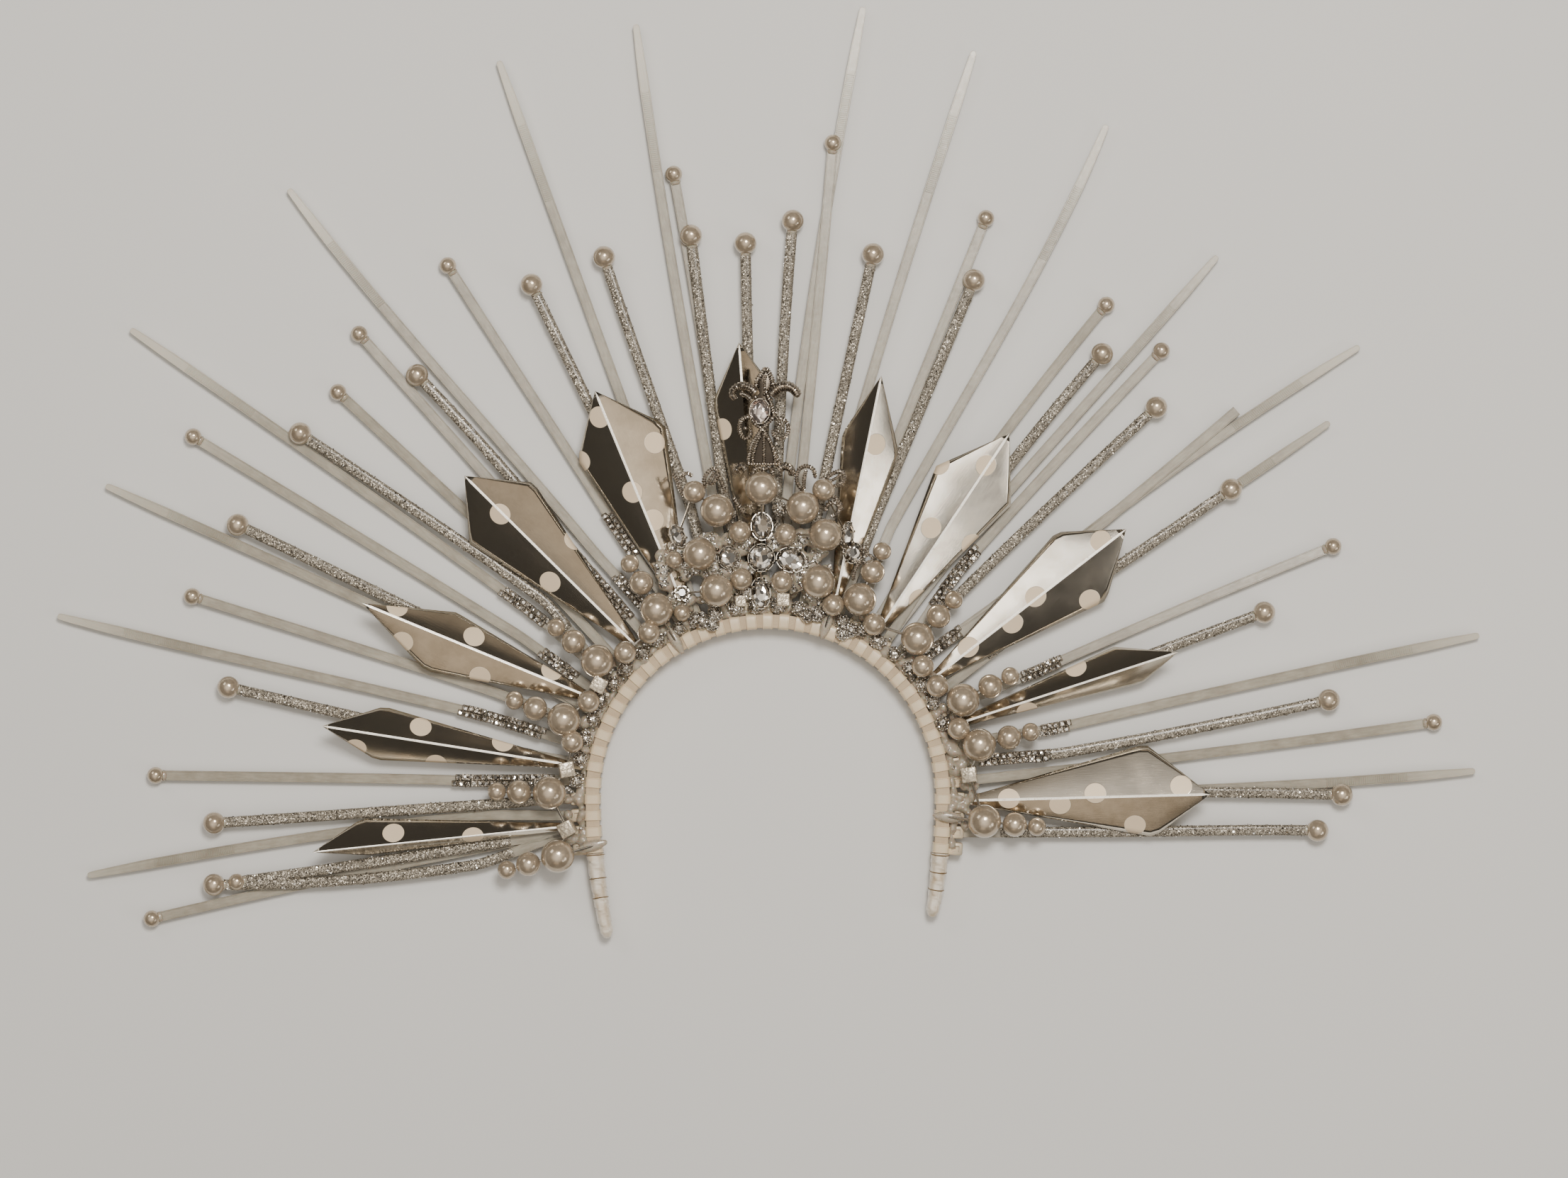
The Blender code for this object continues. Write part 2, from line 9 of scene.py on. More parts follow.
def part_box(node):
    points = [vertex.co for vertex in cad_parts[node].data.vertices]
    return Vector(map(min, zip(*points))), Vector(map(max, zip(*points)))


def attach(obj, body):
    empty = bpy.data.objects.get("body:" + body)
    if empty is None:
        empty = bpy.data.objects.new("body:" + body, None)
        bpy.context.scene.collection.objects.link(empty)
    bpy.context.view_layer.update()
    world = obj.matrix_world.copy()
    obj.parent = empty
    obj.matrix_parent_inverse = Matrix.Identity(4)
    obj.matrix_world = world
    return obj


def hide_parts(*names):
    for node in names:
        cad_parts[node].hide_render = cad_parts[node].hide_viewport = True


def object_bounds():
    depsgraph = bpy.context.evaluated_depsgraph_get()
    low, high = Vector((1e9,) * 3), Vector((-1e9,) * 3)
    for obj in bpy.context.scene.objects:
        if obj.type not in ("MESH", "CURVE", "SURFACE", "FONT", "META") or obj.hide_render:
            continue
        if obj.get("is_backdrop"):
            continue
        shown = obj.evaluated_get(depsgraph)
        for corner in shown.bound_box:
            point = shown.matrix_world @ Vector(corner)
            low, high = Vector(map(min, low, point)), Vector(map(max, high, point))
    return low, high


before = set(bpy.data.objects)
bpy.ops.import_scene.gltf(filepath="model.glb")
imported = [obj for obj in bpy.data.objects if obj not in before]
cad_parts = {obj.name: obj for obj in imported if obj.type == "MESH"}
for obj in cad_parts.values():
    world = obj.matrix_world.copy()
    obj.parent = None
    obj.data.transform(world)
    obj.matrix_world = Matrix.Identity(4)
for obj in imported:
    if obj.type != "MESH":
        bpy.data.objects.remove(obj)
cad_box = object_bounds()

# The headband: a sprung plastic band, bent to an arch with two legs that turn inwards, and covered with a cream
# ribbon that is glued on under tension. The crown lies on its back, so the front of the band faces up, and all
# that follows is tied, glued or wired to it.
BAND_THICKNESS = 0.0045
BAND_DEPTH = 0.010
BAND_EDGE = 0.28
BAND_STEPS = 150
LEG_BEND_RADIUS = 0.31
LEFT_LEG = 0.066
RIGHT_LEG = 0.056
LEG_END_SHARE = 0.55
LEG_TAPER = 0.020
RIBBON_THREAD = 0.00045
WAVE_PERIOD = 0.314
RIBBON_CREAM = (0.70, 0.56, 0.39, 1)
RIBBON_SHADE = (0.54, 0.42, 0.28, 1)
SAME_POINT = 1e-6

band_low, band_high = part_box("headband")
OUTER_RADIUS = (band_high.x - band_low.x) / 2
ARCH_RADIUS = OUTER_RADIUS - BAND_THICKNESS / 2
ARCH_CENTRE = Vector(((band_low.x + band_high.x) / 2, band_high.y - OUTER_RADIUS, 0))
BAND_LEVEL = (band_low.z + band_high.z) / 2
QUARTER = ARCH_RADIUS * math.pi / 2
UP = Vector((0, 0, 1))


def band_frame(along):
    """Centre and outward direction of the band's middle line, by the way from its top to the left."""
    side = 1 if along >= 0 else -1
    past = abs(along) - QUARTER
    middle = ARCH_CENTRE + UP * BAND_LEVEL
    if past <= 0:
        turn = along / ARCH_RADIUS
        outward = Vector((-math.sin(turn), math.cos(turn), 0))
        return middle + outward * ARCH_RADIUS, outward
    turn = past / LEG_BEND_RADIUS
    outward = Vector((-side * math.cos(turn), -math.sin(turn), 0))
    middle.x += side * (LEG_BEND_RADIUS - ARCH_RADIUS)
    return middle + outward * LEG_BEND_RADIUS, outward


def soft_corners(edge, steps=3):
    """The corners of a square outline, in halves of its sizes, with each corner rounded by that share."""
    outline = []
    for quarter in range(4):
        middle = math.pi / 2 * (quarter + 0.5)
        for step in range(steps + 1):
            turn = math.pi / 2 * (quarter + step / steps)
            u = math.copysign(1 - edge, math.cos(middle)) + edge * math.cos(turn)
            v = math.copysign(1 - edge, math.sin(middle)) + edge * math.sin(turn)
            outline.append((u, v))
    return outline


def sweep(outline, sections, closed=False):
    """A bar whose outline follows sections of centre, half width and half rise. Its UV map is in metres."""
    bar = bmesh.new()
    sides = len(outline)
    spans = len(sections) if closed else len(sections) - 1
    bmesh.ops.create_grid(bar, x_segments=spans, y_segments=sides, size=0.5)
    gone = [0.0]
    for near, far in zip(sections, sections[1:] + sections[:1]):
        gone.append(gone[-1] + (far[0] - near[0]).length)
    _, half, rise = sections[len(sections) // 2]
    around = [0.0]
    for near, far in zip(outline, outline[1:] + outline[:1]):
        around.append(around[-1] + (half * (far[0] - near[0]) + rise * (far[1] - near[1])).length)
    steps = {}
    for corner in bar.verts:
        steps[corner] = (round((corner.co.x + 0.5) * spans), round((corner.co.y + 0.5) * sides))
    metres = bar.loops.layers.uv.new("metres")
    for face in bar.faces:
        for loop in face.loops:
            step, side = steps[loop.vert]
            loop[metres].uv = (gone[step], around[side])
    for corner, (step, side) in steps.items():
        centre, half, rise = sections[step % len(sections)]
        u, v = outline[side % sides]
        corner.co = centre + half * u + rise * v
    bmesh.ops.remove_doubles(bar, verts=bar.verts, dist=SAME_POINT)
    if not closed:
        bmesh.ops.holes_fill(bar, edges=[edge for edge in bar.edges if edge.is_boundary], sides=0)
    return bar


def merge(shapes):
    """One shape from several, which are used up."""
    whole = bmesh.new()
    for shape in shapes:
        mesh = bpy.data.meshes.new("part")
        shape.to_mesh(mesh)
        shape.free()
        whole.from_mesh(mesh)
        bpy.data.meshes.remove(mesh)
    return whole


def piece(name, looks, stands_for=(), crease=38):
    """The object made of the shapes of each finish, which are used up. Edges above the crease stay sharp."""
    for index, shapes in enumerate(looks.values()):
        for shape in shapes:
            for face in shape.faces:
                face.material_index += index
    whole = merge([shape for shapes in looks.values() for shape in shapes])
    bmesh.ops.recalc_face_normals(whole, faces=whole.faces)
    mesh = bpy.data.meshes.new(name)
    whole.to_mesh(mesh)
    whole.free()
    for finish in looks:
        mesh.materials.append(finish)
    mesh.shade_smooth()
    mesh.set_sharp_from_angle(angle=math.radians(crease))
    made = bpy.data.objects.new(name, mesh)
    bpy.context.scene.collection.objects.link(made)
    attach(made, "root")
    if stands_for:
        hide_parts(*stands_for)
    return made


def plug(node, values):
    """Sets a node's sockets to plain values, or links them to the outputs of other nodes."""
    for socket, value in values.items():
        if isinstance(value, bpy.types.NodeSocket):
            node.id_data.links.new(value, node.inputs[socket])
        else:
            node.inputs[socket].default_value = value


def wear(shader, **values):
    """Sets or links a shader's sockets by their names."""
    plug(shader, {name.replace("_", " "): value for name, value in values.items()})


def new_finish(name, **settings):
    """A material, its shader with the settings that are the same all over, and the place on the object."""
    finish = bpy.data.materials.new(name)
    finish.use_nodes = True
    shader = finish.node_tree.nodes["Principled BSDF"]
    wear(shader, **settings)
    return finish, shader, add(shader, "TexCoord", {}).outputs["Object"]


def add(kin, kind, values, **settings):
    """A node in the same tree as a node or a socket, with its sockets' values."""
    made = kin.id_data.nodes.new("ShaderNode" + kind)
    for setting, value in settings.items():
        setattr(made, setting, value)
    plug(made, values)
    return made


def on_surface(shader):
    """The place on the piece's own UV map, in metres."""
    return add(shader, "UVMap", {}, uv_map="metres").outputs[0]


def maths(operation, first, second=0.0, third=0.0):
    """A sum of values, the first of which comes from another node."""
    return add(first, "Math", {0: first, 1: second, 2: third}, operation=operation).outputs[0]


def noise(place, size, detail=2.0, roughness=0.5):
    """Soft random grey with features of that size in metres."""
    values = {"Vector": place, "Scale": 1 / size, "Detail": detail, "Roughness": roughness}
    return add(place, "TexNoise", values).outputs["Fac"]


def spread(value, low, high, new_low=0.0, new_high=1.0):
    """Maps the range from low to high onto a new one."""
    values = {"Value": value, "From Min": low, "From Max": high, "To Min": new_low, "To Max": new_high}
    return add(value, "MapRange", values).outputs["Result"]


def blend(share, low, high):
    """The colour between two others at a share."""
    return add(share, "Mix", {0: share, 6: low, 7: high}, data_type="RGBA").outputs[2]


def raise_up(shader, height, distance, strength=1.0, over=None):
    """Bump from a height between 0 and 1 and its distance in metres, over another bump if one is given."""
    values = {"Height": height, "Distance": distance, "Strength": strength}
    if over:
        values["Normal"] = over
    bump = add(shader, "Bump", values).outputs["Normal"]
    wear(shader, Normal=bump)
    return bump


# The ribbon's weave is two wave patterns across each other, which repeat every WAVE_PERIOD of their own units
ribbon, shader, place = new_finish("cream_ribbon", Roughness=0.8, Sheen_Weight=0.25, Sheen_Roughness=0.4)
threads = {"Vector": on_surface(shader), "Scale": WAVE_PERIOD / RIBBON_THREAD}
threads.update({"Distortion": 0.6, "Detail": 1.0, "Detail Scale": 1.5})
weave = maths("MULTIPLY", *(add(shader, "TexWave", threads, bands_direction=way).outputs["Fac"] for way in "XY"))
stain = spread(noise(place, 0.012, 4.0, 0.6), 0.35, 0.7)
shade = maths("MULTIPLY_ADD", weave, 0.35, maths("MULTIPLY", stain, 0.6))
wear(shader, Base_Color=blend(shade, RIBBON_SHADE, RIBBON_CREAM))
raise_up(shader, weave, RIBBON_THREAD * 0.5, 0.7)

sections = []
band_length = LEFT_LEG + RIGHT_LEG + 2 * QUARTER
for step in range(BAND_STEPS + 1):
    along = LEFT_LEG + QUARTER - band_length * step / BAND_STEPS
    centre, outward = band_frame(along)
    to_end = QUARTER + (LEFT_LEG if along > 0 else RIGHT_LEG) - abs(along)
    share = 1 - (1 - LEG_END_SHARE) * max(0.0, 1 - to_end / LEG_TAPER)
    sections.append((centre, outward * share * BAND_THICKNESS / 2, UP * share * BAND_DEPTH / 2))
piece("headband_cover", {ribbon: [sweep(soft_corners(BAND_EDGE), sections)]}, ["headband"])

# The cable ties: natural nylon ties, looped tightly round the band with their heads on its outer side and their
# tails standing out as rays. The long ones keep their ribbed, tapered tips. The others are cut to length and
# carry a sleeve or a pearl. Two or three tails share a loop where more ties are pushed through its head.
TIE_COUNT = 41
TIE_WIDTH = 0.0047
TIE_THICKNESS = 0.0013
CLEARANCE = 0.0003
LOOP_CORNER = 0.0012
HEAD_CHEEK = 0.0006
HEAD_LENGTH = 0.0070
HEAD_DEPTH = 0.0060
HEAD_EDGE = 0.0009
HOLE_LIP = 0.00015
MOUTH_WALL = 0.0009
MOUTH_DEPTH = 0.0018
PAWL_WALL = 0.0016
PAWL_DEPTH = 0.0012
TAIL_START = 0.0016
LOOPED_LEG = 0.024
FOOT_RADIUS = 0.140
SLEEVE_WIDTH = 0.0052
SLEEVE_THICKNESS = 0.0031
SLEEVE_START = 0.106
SLEEVE_START_SHARED = 0.118
PLAIN_LEVEL = 0.0040
CROSSING_STEP = 0.0004
SWEEP_BEND = 0.55
SWEEP_STEPS = 10
TAIL_STEPS = 16
MOST_TWIST = 9
RIBBED_LENGTH = 0.038
RIB_START = 0.001
RIB_PITCH = 0.00095
RIB_RISE = 0.00045
RIB_SIZE = (0.00055, 0.0034, 0.0005)
RIB_EDGE = 0.0001
REACH = {"long": 0.3703, "pearled": 0.3158, "glitter": 0.2772, "blob": 0.2505, "cut": 0.2828}
NYLON = (0.36, 0.325, 0.255, 1)
NYLON_SHADE = (0.25, 0.22, 0.165, 1)
NYLON_CREAM = (0.70, 0.57, 0.39, 1)
NYLON_PAINTED_TIP_LIGHT = (0.58, 0.545, 0.46, 1)

SLEEVE_LEVEL = PLAIN_LEVEL + TIE_THICKNESS / 2 + CLEARANCE + SLEEVE_THICKNESS / 2
LOOP_DEPTH = BAND_DEPTH + 2 * (CLEARANCE + TIE_THICKNESS)
LOOP_SPAN = BAND_THICKNESS + 2 * (CLEARANCE + TIE_THICKNESS)

# By the kind of tail, one row for each: the tie it belongs to, its angle in degrees at the foot, half way and at
# the tip, and its reach as a share of its kind's
TAILS = {
    "long": (
        (3, 183.9, 185.4, 186.7, 0.862), (7, 164.2, 165.4, 165.8, 0.922), (9, 153.9, 154.5, 154.9, 0.920),
        (11, 142.1, 143.1, 143.8, 0.994), (15, 125.4, 127.8, 128.3, 0.973), (17, 110.2, 110.2, 110.1, 0.985),
        (19, 100.4, 100.2, 99.7, 0.985), (22, 86.3, 84.5, 83.1, 1.000), (23, 77.0, 75.5, 74.5, 0.973),
        (26, 65.3, 63.1, 63.2, 0.946), (28, 52.4, 50.9, 50.2, 0.884), (30, 39.9, 38.8, 37.2, 0.935),
        (32, 33.1, 33.4, 33.6, 0.849), (35, 13.2, 13.0, 12.7, 0.918), (38, 0.4, 1.1, 2.0, 0.891),
    ),
    "pearled": (
        (2, 190.4, 190.8, 191.3, 0.927), (5, 177.1, 177.7, 178.1, 0.904), (8, 159.3, 160.3, 160.9, 0.899),
        (10, 147.2, 147.7, 148.0, 1.000), (12, 136.5, 136.7, 136.8, 0.870), (13, 131.3, 131.4, 131.5, 0.910),
        (16, 119.4, 120.5, 121.1, 0.914), (20, 98.0, 98.2, 98.6, 0.928), (22, 83.9, 84.1, 84.3, 0.968),
        (25, 70.4, 69.7, 69.3, 0.911), (27, 58.0, 56.7, 55.4, 0.880), (29, 49.7, 49.1, 48.5, 0.877),
        (33, 24.8, 24.3, 23.8, 0.912), (37, 5.0, 5.7, 6.3, 0.989),
    ),
    "glitter": (
        (2, 193.3, 191.3, 189.1, 0.942), (4, 181.9, 182.5, 182.8, 0.931), (6, 169.8, 169.1, 168.6, 0.924),
        (9, 152.0, 152.5, 152.9, 1.000), (11, 138.9, 140.9, 142.2, 0.994), (14, 128.5, 129.0, 129.8, 0.920),
        (17, 114.2, 114.5, 114.8, 0.946), (18, 105.0, 106.3, 106.9, 0.946), (20, 98.2, 98.0, 97.8, 0.950),
        (21, 92.8, 92.6, 92.3, 0.929), (22, 88.3, 88.0, 87.5, 0.967), (23, 80.0, 79.4, 79.0, 0.927),
        (25, 68.8, 68.4, 68.2, 0.933), (28, 54.2, 53.7, 52.9, 0.931), (29, 46.3, 45.6, 45.0, 0.923),
        (32, 33.1, 33.3, 33.5, 0.933), (34, 20.3, 20.3, 20.3, 0.889), (36, 8.3, 9.0, 9.7, 0.956),
        (38, 0.6, 0.5, 0.1, 0.964), (40, -6.9, -4.7, -3.6, 0.925),
    ),
    "blob": ((2, 189.8, 189.5, 189.2, 1.000),),
    "cut": ((30, 39.2, 39.2, 39.4, 1.000),),
}

# The tapered tip of a long tail: the way back from its end, its share of the strap's width, and its thickness
TIP = (
    (0.031, 1.0, 0.0013), (0.022, 0.94, 0.0012), (0.011, 0.80, 0.0011), (0.003, 0.68, 0.001),
    (0.0012, 0.63, 0.001), (0.0003, 0.45, 0.0009), (0, 0.2, 0.0007),
)
TIP_LENGTH = TIP[0][0]

# Corners of the strap in halves of its sizes: a flat back, and a front with a shallow channel between two rails
STRAP = (
    (-1.0, -0.35), (-0.86, -1.0), (0.86, -1.0), (1.0, -0.35), (1.0, 0.55), (0.93, 1.0), (0.80, 1.0), (0.74, 0.74),
    (-0.74, 0.74), (-0.80, 1.0), (-0.93, 1.0), (-1.0, 0.55),
)


def heading(angle):
    """The level direction at an angle in degrees."""
    return Vector((math.cos(math.radians(angle)), math.sin(math.radians(angle)), 0))


def polar(angle, radius, height=0.0):
    """A point by its angle in degrees and its radius about the arch's centre."""
    return ARCH_CENTRE + heading(angle) * radius + UP * height


def repeated(template, places):
    """A shape with a copy of the template, which is used up, at each place."""
    one = bpy.data.meshes.new("one")
    bmesh.ops.recalc_face_normals(template, faces=template.faces)
    template.to_mesh(one)
    template.free()
    copies = bmesh.new()
    for place in places:
        another = one.copy()
        another.transform(place)
        copies.from_mesh(another)
        bpy.data.meshes.remove(another)
    bpy.data.meshes.remove(one)
    return copies


def stand(centre, along, outward=UP):
    """The place of a shape whose X lies along a direction and whose Z faces up or outward."""
    rise = outward.normalized()
    across = rise.cross(along).normalized()
    return Matrix.Translation(centre) @ Matrix((across.cross(rise), across, rise)).transposed().to_4x4()


def moved(shape, place):
    """The shape at its place."""
    bmesh.ops.transform(shape, matrix=place, verts=shape.verts)
    return shape


def rounded(shape, edges, radius, steps=2):
    """The shape with these edges rounded."""
    bmesh.ops.bevel(shape, geom=edges, offset=radius, segments=steps, profile=0.5, affect="EDGES", material=-1)
    return shape


def block(sizes, edge=0.0, place=Matrix(), steps=2):
    """A box with rounded edges, or with sharp ones."""
    box = bmesh.new()
    bmesh.ops.create_cube(box, size=1.0)
    bmesh.ops.scale(box, vec=sizes, verts=box.verts)
    if edge:
        rounded(box, box.edges[:], edge, steps)
    return moved(box, place)


def tail_angle(bend, radius, reach):
    """A tail's angle at a radius, on the smooth curve through its angles at the foot, half way and at the tip."""
    foot, middle, tip = bend
    share = (radius - FOOT_RADIUS) / (reach - FOOT_RADIUS)
    return foot * (1 - share) * (1 - 2 * share) + middle * 4 * share * (1 - share) + tip * share * (2 * share - 1)


def tail_route(start, outward, bend, reach, level):
    """A tail's middle line from the mouth of its head to its foot, and from there to its end."""
    route = []
    for step in range(TAIL_STEPS + 1):
        radius = FOOT_RADIUS + (reach - FOOT_RADIUS) * step / TAIL_STEPS
        route.append(polar(tail_angle(bend, radius, reach), radius, level))
    span = (route[0] - start).length * SWEEP_BEND
    leave = outward * span
    arrive = (route[1] - route[0]).normalized() * span
    sweep_out = []
    for step in range(SWEEP_STEPS):
        t = step / SWEEP_STEPS
        point = start * (2 * t**3 - 3 * t**2 + 1) + leave * (t**3 - 2 * t**2 + t)
        sweep_out.append(point + route[0] * (3 * t**2 - 2 * t**3) + arrive * (t**3 - t**2))
    return sweep_out, route


def runs(points):
    """Each point of a line with its number, the length before it, the line's direction, and the way across."""
    gone = 0.0
    for step, point in enumerate(points):
        after = points[min(len(points) - 1, step + 1)]
        run = (after - points[max(0, step - 1)]).normalized()
        level = UP if abs(run.z) < 0.95 else Vector((1, 0, 0))
        yield step, gone, point, run, level.cross(run).normalized()
        gone += (after - point).length


def strap_sections(line, sizes, twist=0.0):
    """Sections for a strap of those widths and thicknesses that turns by twist in degrees over its length."""
    found = []
    for step, _, point, run, across in runs(line):
        turn = Matrix.Rotation(math.radians(twist * step / len(line)), 3, run)
        width, thickness = sizes[step]
        found.append((point, turn @ across * width / 2, turn @ run.cross(across) * thickness / 2))
    return found


def make_loop(centre, outward):
    """The strap of a tie, closed round the band, with a small round at each corner."""
    span = (LOOP_SPAN - TIE_THICKNESS) / 2
    depth = (LOOP_DEPTH - TIE_THICKNESS) / 2
    sections = []
    for quarter in range(4):
        middle = math.pi / 2 * (quarter + 0.5)
        corner = outward * math.copysign(span - LOOP_CORNER, math.cos(middle))
        corner += UP * math.copysign(depth - LOOP_CORNER, math.sin(middle))
        for step in range(4):
            turn = math.pi / 2 * (quarter + step / 3)
            facing = outward * math.cos(turn) + UP * math.sin(turn)
            point = centre + corner + facing * LOOP_CORNER
            sections.append((point, outward.cross(UP) * TIE_WIDTH / 2, facing * TIE_THICKNESS / 2))
    return sweep([(-u, v) for u, v in STRAP], sections, closed=True)


def make_head(middle, outward):
    """The ratchet head: a rounded box with a mouth for the tail, and the window over its pawl on the front."""
    head = block((HEAD_LENGTH, TIE_WIDTH + 2 * HEAD_CHEEK, HEAD_DEPTH))
    for axis, depth, wall in ((0, MOUTH_DEPTH, MOUTH_WALL), (2, PAWL_DEPTH, PAWL_WALL)):
        face = max(head.faces, key=lambda item: item.calc_center_median()[axis])
        bmesh.ops.inset_region(head, faces=[face], thickness=wall, use_even_offset=True)
        bmesh.ops.inset_region(head, faces=[face], thickness=HOLE_LIP, depth=-depth)
    outer = [edge for edge in head.edges if edge.calc_face_angle() > 1.3 and edge.calc_length() > 0.005]
    rounded(head, outer, HEAD_EDGE)
    return moved(head, stand(middle, outward))


def stretched(surface, scale, turn=0.0):
    """A place whose pattern is drawn out along one way, turned by an angle in radians."""
    return add(surface, "Mapping", {"Vector": surface, "Rotation": (0, 0, turn), "Scale": scale}).outputs[0]


def distance(place, centre):
    """How far a place is from a point."""
    return add(place, "VectorMath", {0: place, 1: centre}, operation="DISTANCE").outputs["Value"]


# Milky nylon: flow marks along the strap, scuffs, cream where it is looped over the ribbon, painted light at the tips
nylon, shader, place = new_finish(
    "natural_nylon", Subsurface_Weight=0.12, Subsurface_Scale=0.0012, Coat_Weight=0.25, Coat_Roughness=0.25
)
flow = noise(stretched(on_surface(shader), (0.18, 1.0, 1.0)), 0.0011, 3.0, 0.6)
cloud = noise(place, 0.009, 3.0, 0.55)
mottle = noise(place, 0.0022, 2.0, 0.6)
away = distance(place, ARCH_CENTRE)
body = blend(spread(maths("ADD", flow, cloud), 0.75, 1.25), NYLON_SHADE, NYLON)
body = blend(spread(away, 0.096, 0.089), body, NYLON_CREAM)
gloss = maths("MULTIPLY_ADD", mottle, 0.30, maths("MULTIPLY", flow, 0.18))
# The paler colour towards the tips is painted light: the tips are coloured as if lit brighter
wear(shader, Base_Color=blend(spread(away, 0.285, 0.35), body, NYLON_PAINTED_TIP_LIGHT), Roughness=maths("ADD", gloss, 0.12))
raise_up(shader, maths("ADD", mottle, flow), 0.00012, 0.35)

draw = random.Random(41)
tail_lines = {}
sleeve_lines = []
tip_places = []
furthest = QUARTER + LOOPED_LEG
for number in range(1, TIE_COUNT + 1):
    centre, outward = band_frame(furthest * (1 - 2 * (number - 1) / (TIE_COUNT - 1)))
    head = centre + outward * (LOOP_SPAN / 2 - TIE_THICKNESS / 2 + HEAD_LENGTH / 2)
    mouth = head + outward * (HEAD_LENGTH / 2 - TAIL_START)
    parts = [make_loop(centre, outward), make_head(head, outward)]
    own = [(kind, row) for kind, rows in TAILS.items() for row in rows if row[0] == number]
    for crossing, (kind, (_, *bend, share)) in enumerate(own):
        reach = REACH[kind] * share
        sleeved = kind in ("glitter", "blob")
        level = SLEEVE_LEVEL if sleeved else PLAIN_LEVEL + crossing * CROSSING_STEP
        out, route = tail_route(mouth, outward, bend, reach, level)
        twist = draw.uniform(-MOST_TWIST, MOST_TWIST) if len(own) == 1 else 0.0
        line = tail_lines[number, kind] = out + route
        if sleeved:
            line = out + route[:2]
            inner = SLEEVE_START if len(own) == 1 else SLEEVE_START_SHARED
            covered = [point for point in out if (point - ARCH_CENTRE).xy.length > inner]
            sleeve_lines.append((number, kind, covered + route))
        taper = TIP if kind == "long" else ()
        if taper:
            line = [point for point in line if (point - ARCH_CENTRE).length < reach - TIP_LENGTH]
        sizes = [(TIE_WIDTH, TIE_THICKNESS)] * len(line)
        for back, wide, thick in taper:
            line.append(polar(tail_angle(bend, reach - back, reach), reach - back, level))
            sizes.append((TIE_WIDTH * wide, thick))
        parts.append(sweep(STRAP, strap_sections(line, sizes, twist)))
        if taper:
            ribs = []
            for step in range(int(RIBBED_LENGTH / RIB_PITCH)):
                radius = reach - TIP_LENGTH - RIB_START - step * RIB_PITCH
                angle = tail_angle(bend, radius, reach)
                ribs.append(stand(polar(angle, radius, level), heading(angle)) @ Matrix.Translation((0, 0, RIB_RISE)))
            parts.append(repeated(block(RIB_SIZE, RIB_EDGE, steps=1), ribs))
        elif kind != "cut":
            tip_places.append((number, kind, route[-1], (route[-1] - route[-2]).normalized()))
    piece(f"tie_strap_{number:02d}", {nylon: parts}, [f"tie_{number:02d}"])

# The glitter sleeves: soft tubes of silver lurex braid, oval from being pressed flat, pushed over the trimmed
# tails and held at their outer end by the pearl's glue. Loose flakes stand up from the braid.
GLITTER_LIGHT = (0.43, 0.385, 0.315, 1)
GLITTER_DARK = (0.105, 0.088, 0.064, 1)
FLAKE_LIGHT = (0.99, 0.97, 0.92, 1)
FLAKE_DARK = (0.30, 0.26, 0.20, 1)
BRAID_CELL = 0.00042
FLAKE_CELL = 0.0014
FLAKE = 0.00085
FLAKE_THICKNESS = 0.16
FLAKE_LEAN = 0.34
FLAKE_RISE = (0.985, 1.03)
FLAKE_SWELL = (0.7, 1.3)
FLAKES_A_METRE = 1500
PRESSED = 0.72
SLEEVE_MOUTH = 0.82
SLEEVE_WIDENING = 0.09
SLEEVE_STEP = 0.0016
SLEEVE_TWIST = 7
SLEEVE_WEAR = 0.012
SLEEVE_WAVE = 1.3
SLEEVE_FIT = 0.97


def leaning_cells(shader, place, size, tilt):
    """Cells of that size that each lean their own way, and a random colour for each, split in three."""
    cells = add(place, "TexVoronoi", {"Vector": place, "Scale": 1 / size}).outputs["Color"]
    lean = add(place, "VectorMath", {0: cells, 1: (0.5, 0.5, 0.5)}, operation="SUBTRACT").outputs[0]
    lean = add(place, "VectorMath", {0: lean, "Scale": tilt}, operation="SCALE").outputs[0]
    facing = add(place, "NewGeometry", {}).outputs["Normal"]
    leaning = add(place, "VectorMath", {0: facing, 1: lean}, operation="ADD").outputs[0]
    wear(shader, Normal=add(place, "VectorMath", {0: leaning}, operation="NORMALIZE").outputs[0])
    return add(place, "SeparateXYZ", {0: cells}).outputs


def make_glitter(name, light, dark, cell, metal):
    """Metal flakes set in lacquer: each cell of the pattern leans its own way, and some are darker."""
    finish, shader, place = new_finish(name, Metallic=metal, Coat_Weight=0.4, Coat_Roughness=0.15)
    grey = leaning_cells(shader, place, cell, 1.1)[0]
    wear(shader, Base_Color=blend(spread(grey, 0.15, 0.75), dark, light), Roughness=spread(grey, 0, 1, 0.16, 0.42))
    return finish


def pressed(value):
    """The value drawn towards 1 or -1, which presses a round outline flat."""
    return math.copysign(abs(value) ** PRESSED, value)


def flakes_along(sections, count):
    """Places of flakes scattered over a sleeve, each leaning a little off its surface."""
    places = []
    for _ in range(count):
        step = draw.uniform(0, len(sections) - 1.001)
        near, far = sections[int(step)], sections[int(step) + 1]
        centre, half, rise = (one.lerp(other, step % 1) for one, other in zip(near, far))
        turn = draw.uniform(0, 2 * math.pi)
        facing = half * pressed(math.cos(turn)) + rise * pressed(math.sin(turn))
        normal = half.normalized() * math.cos(turn) / half.length + rise.normalized() * math.sin(turn) / rise.length
        normal = normal.normalized() + Vector([draw.gauss(0, FLAKE_LEAN) for _ in range(3)])
        lay = stand(centre + facing * draw.uniform(*FLAKE_RISE), half.cross(rise), normal)
        turned = lay @ Matrix.Rotation(draw.uniform(0, 1), 4, "Z")
        places.append(turned @ Matrix.Scale(draw.uniform(*FLAKE_SWELL), 4))
    return places


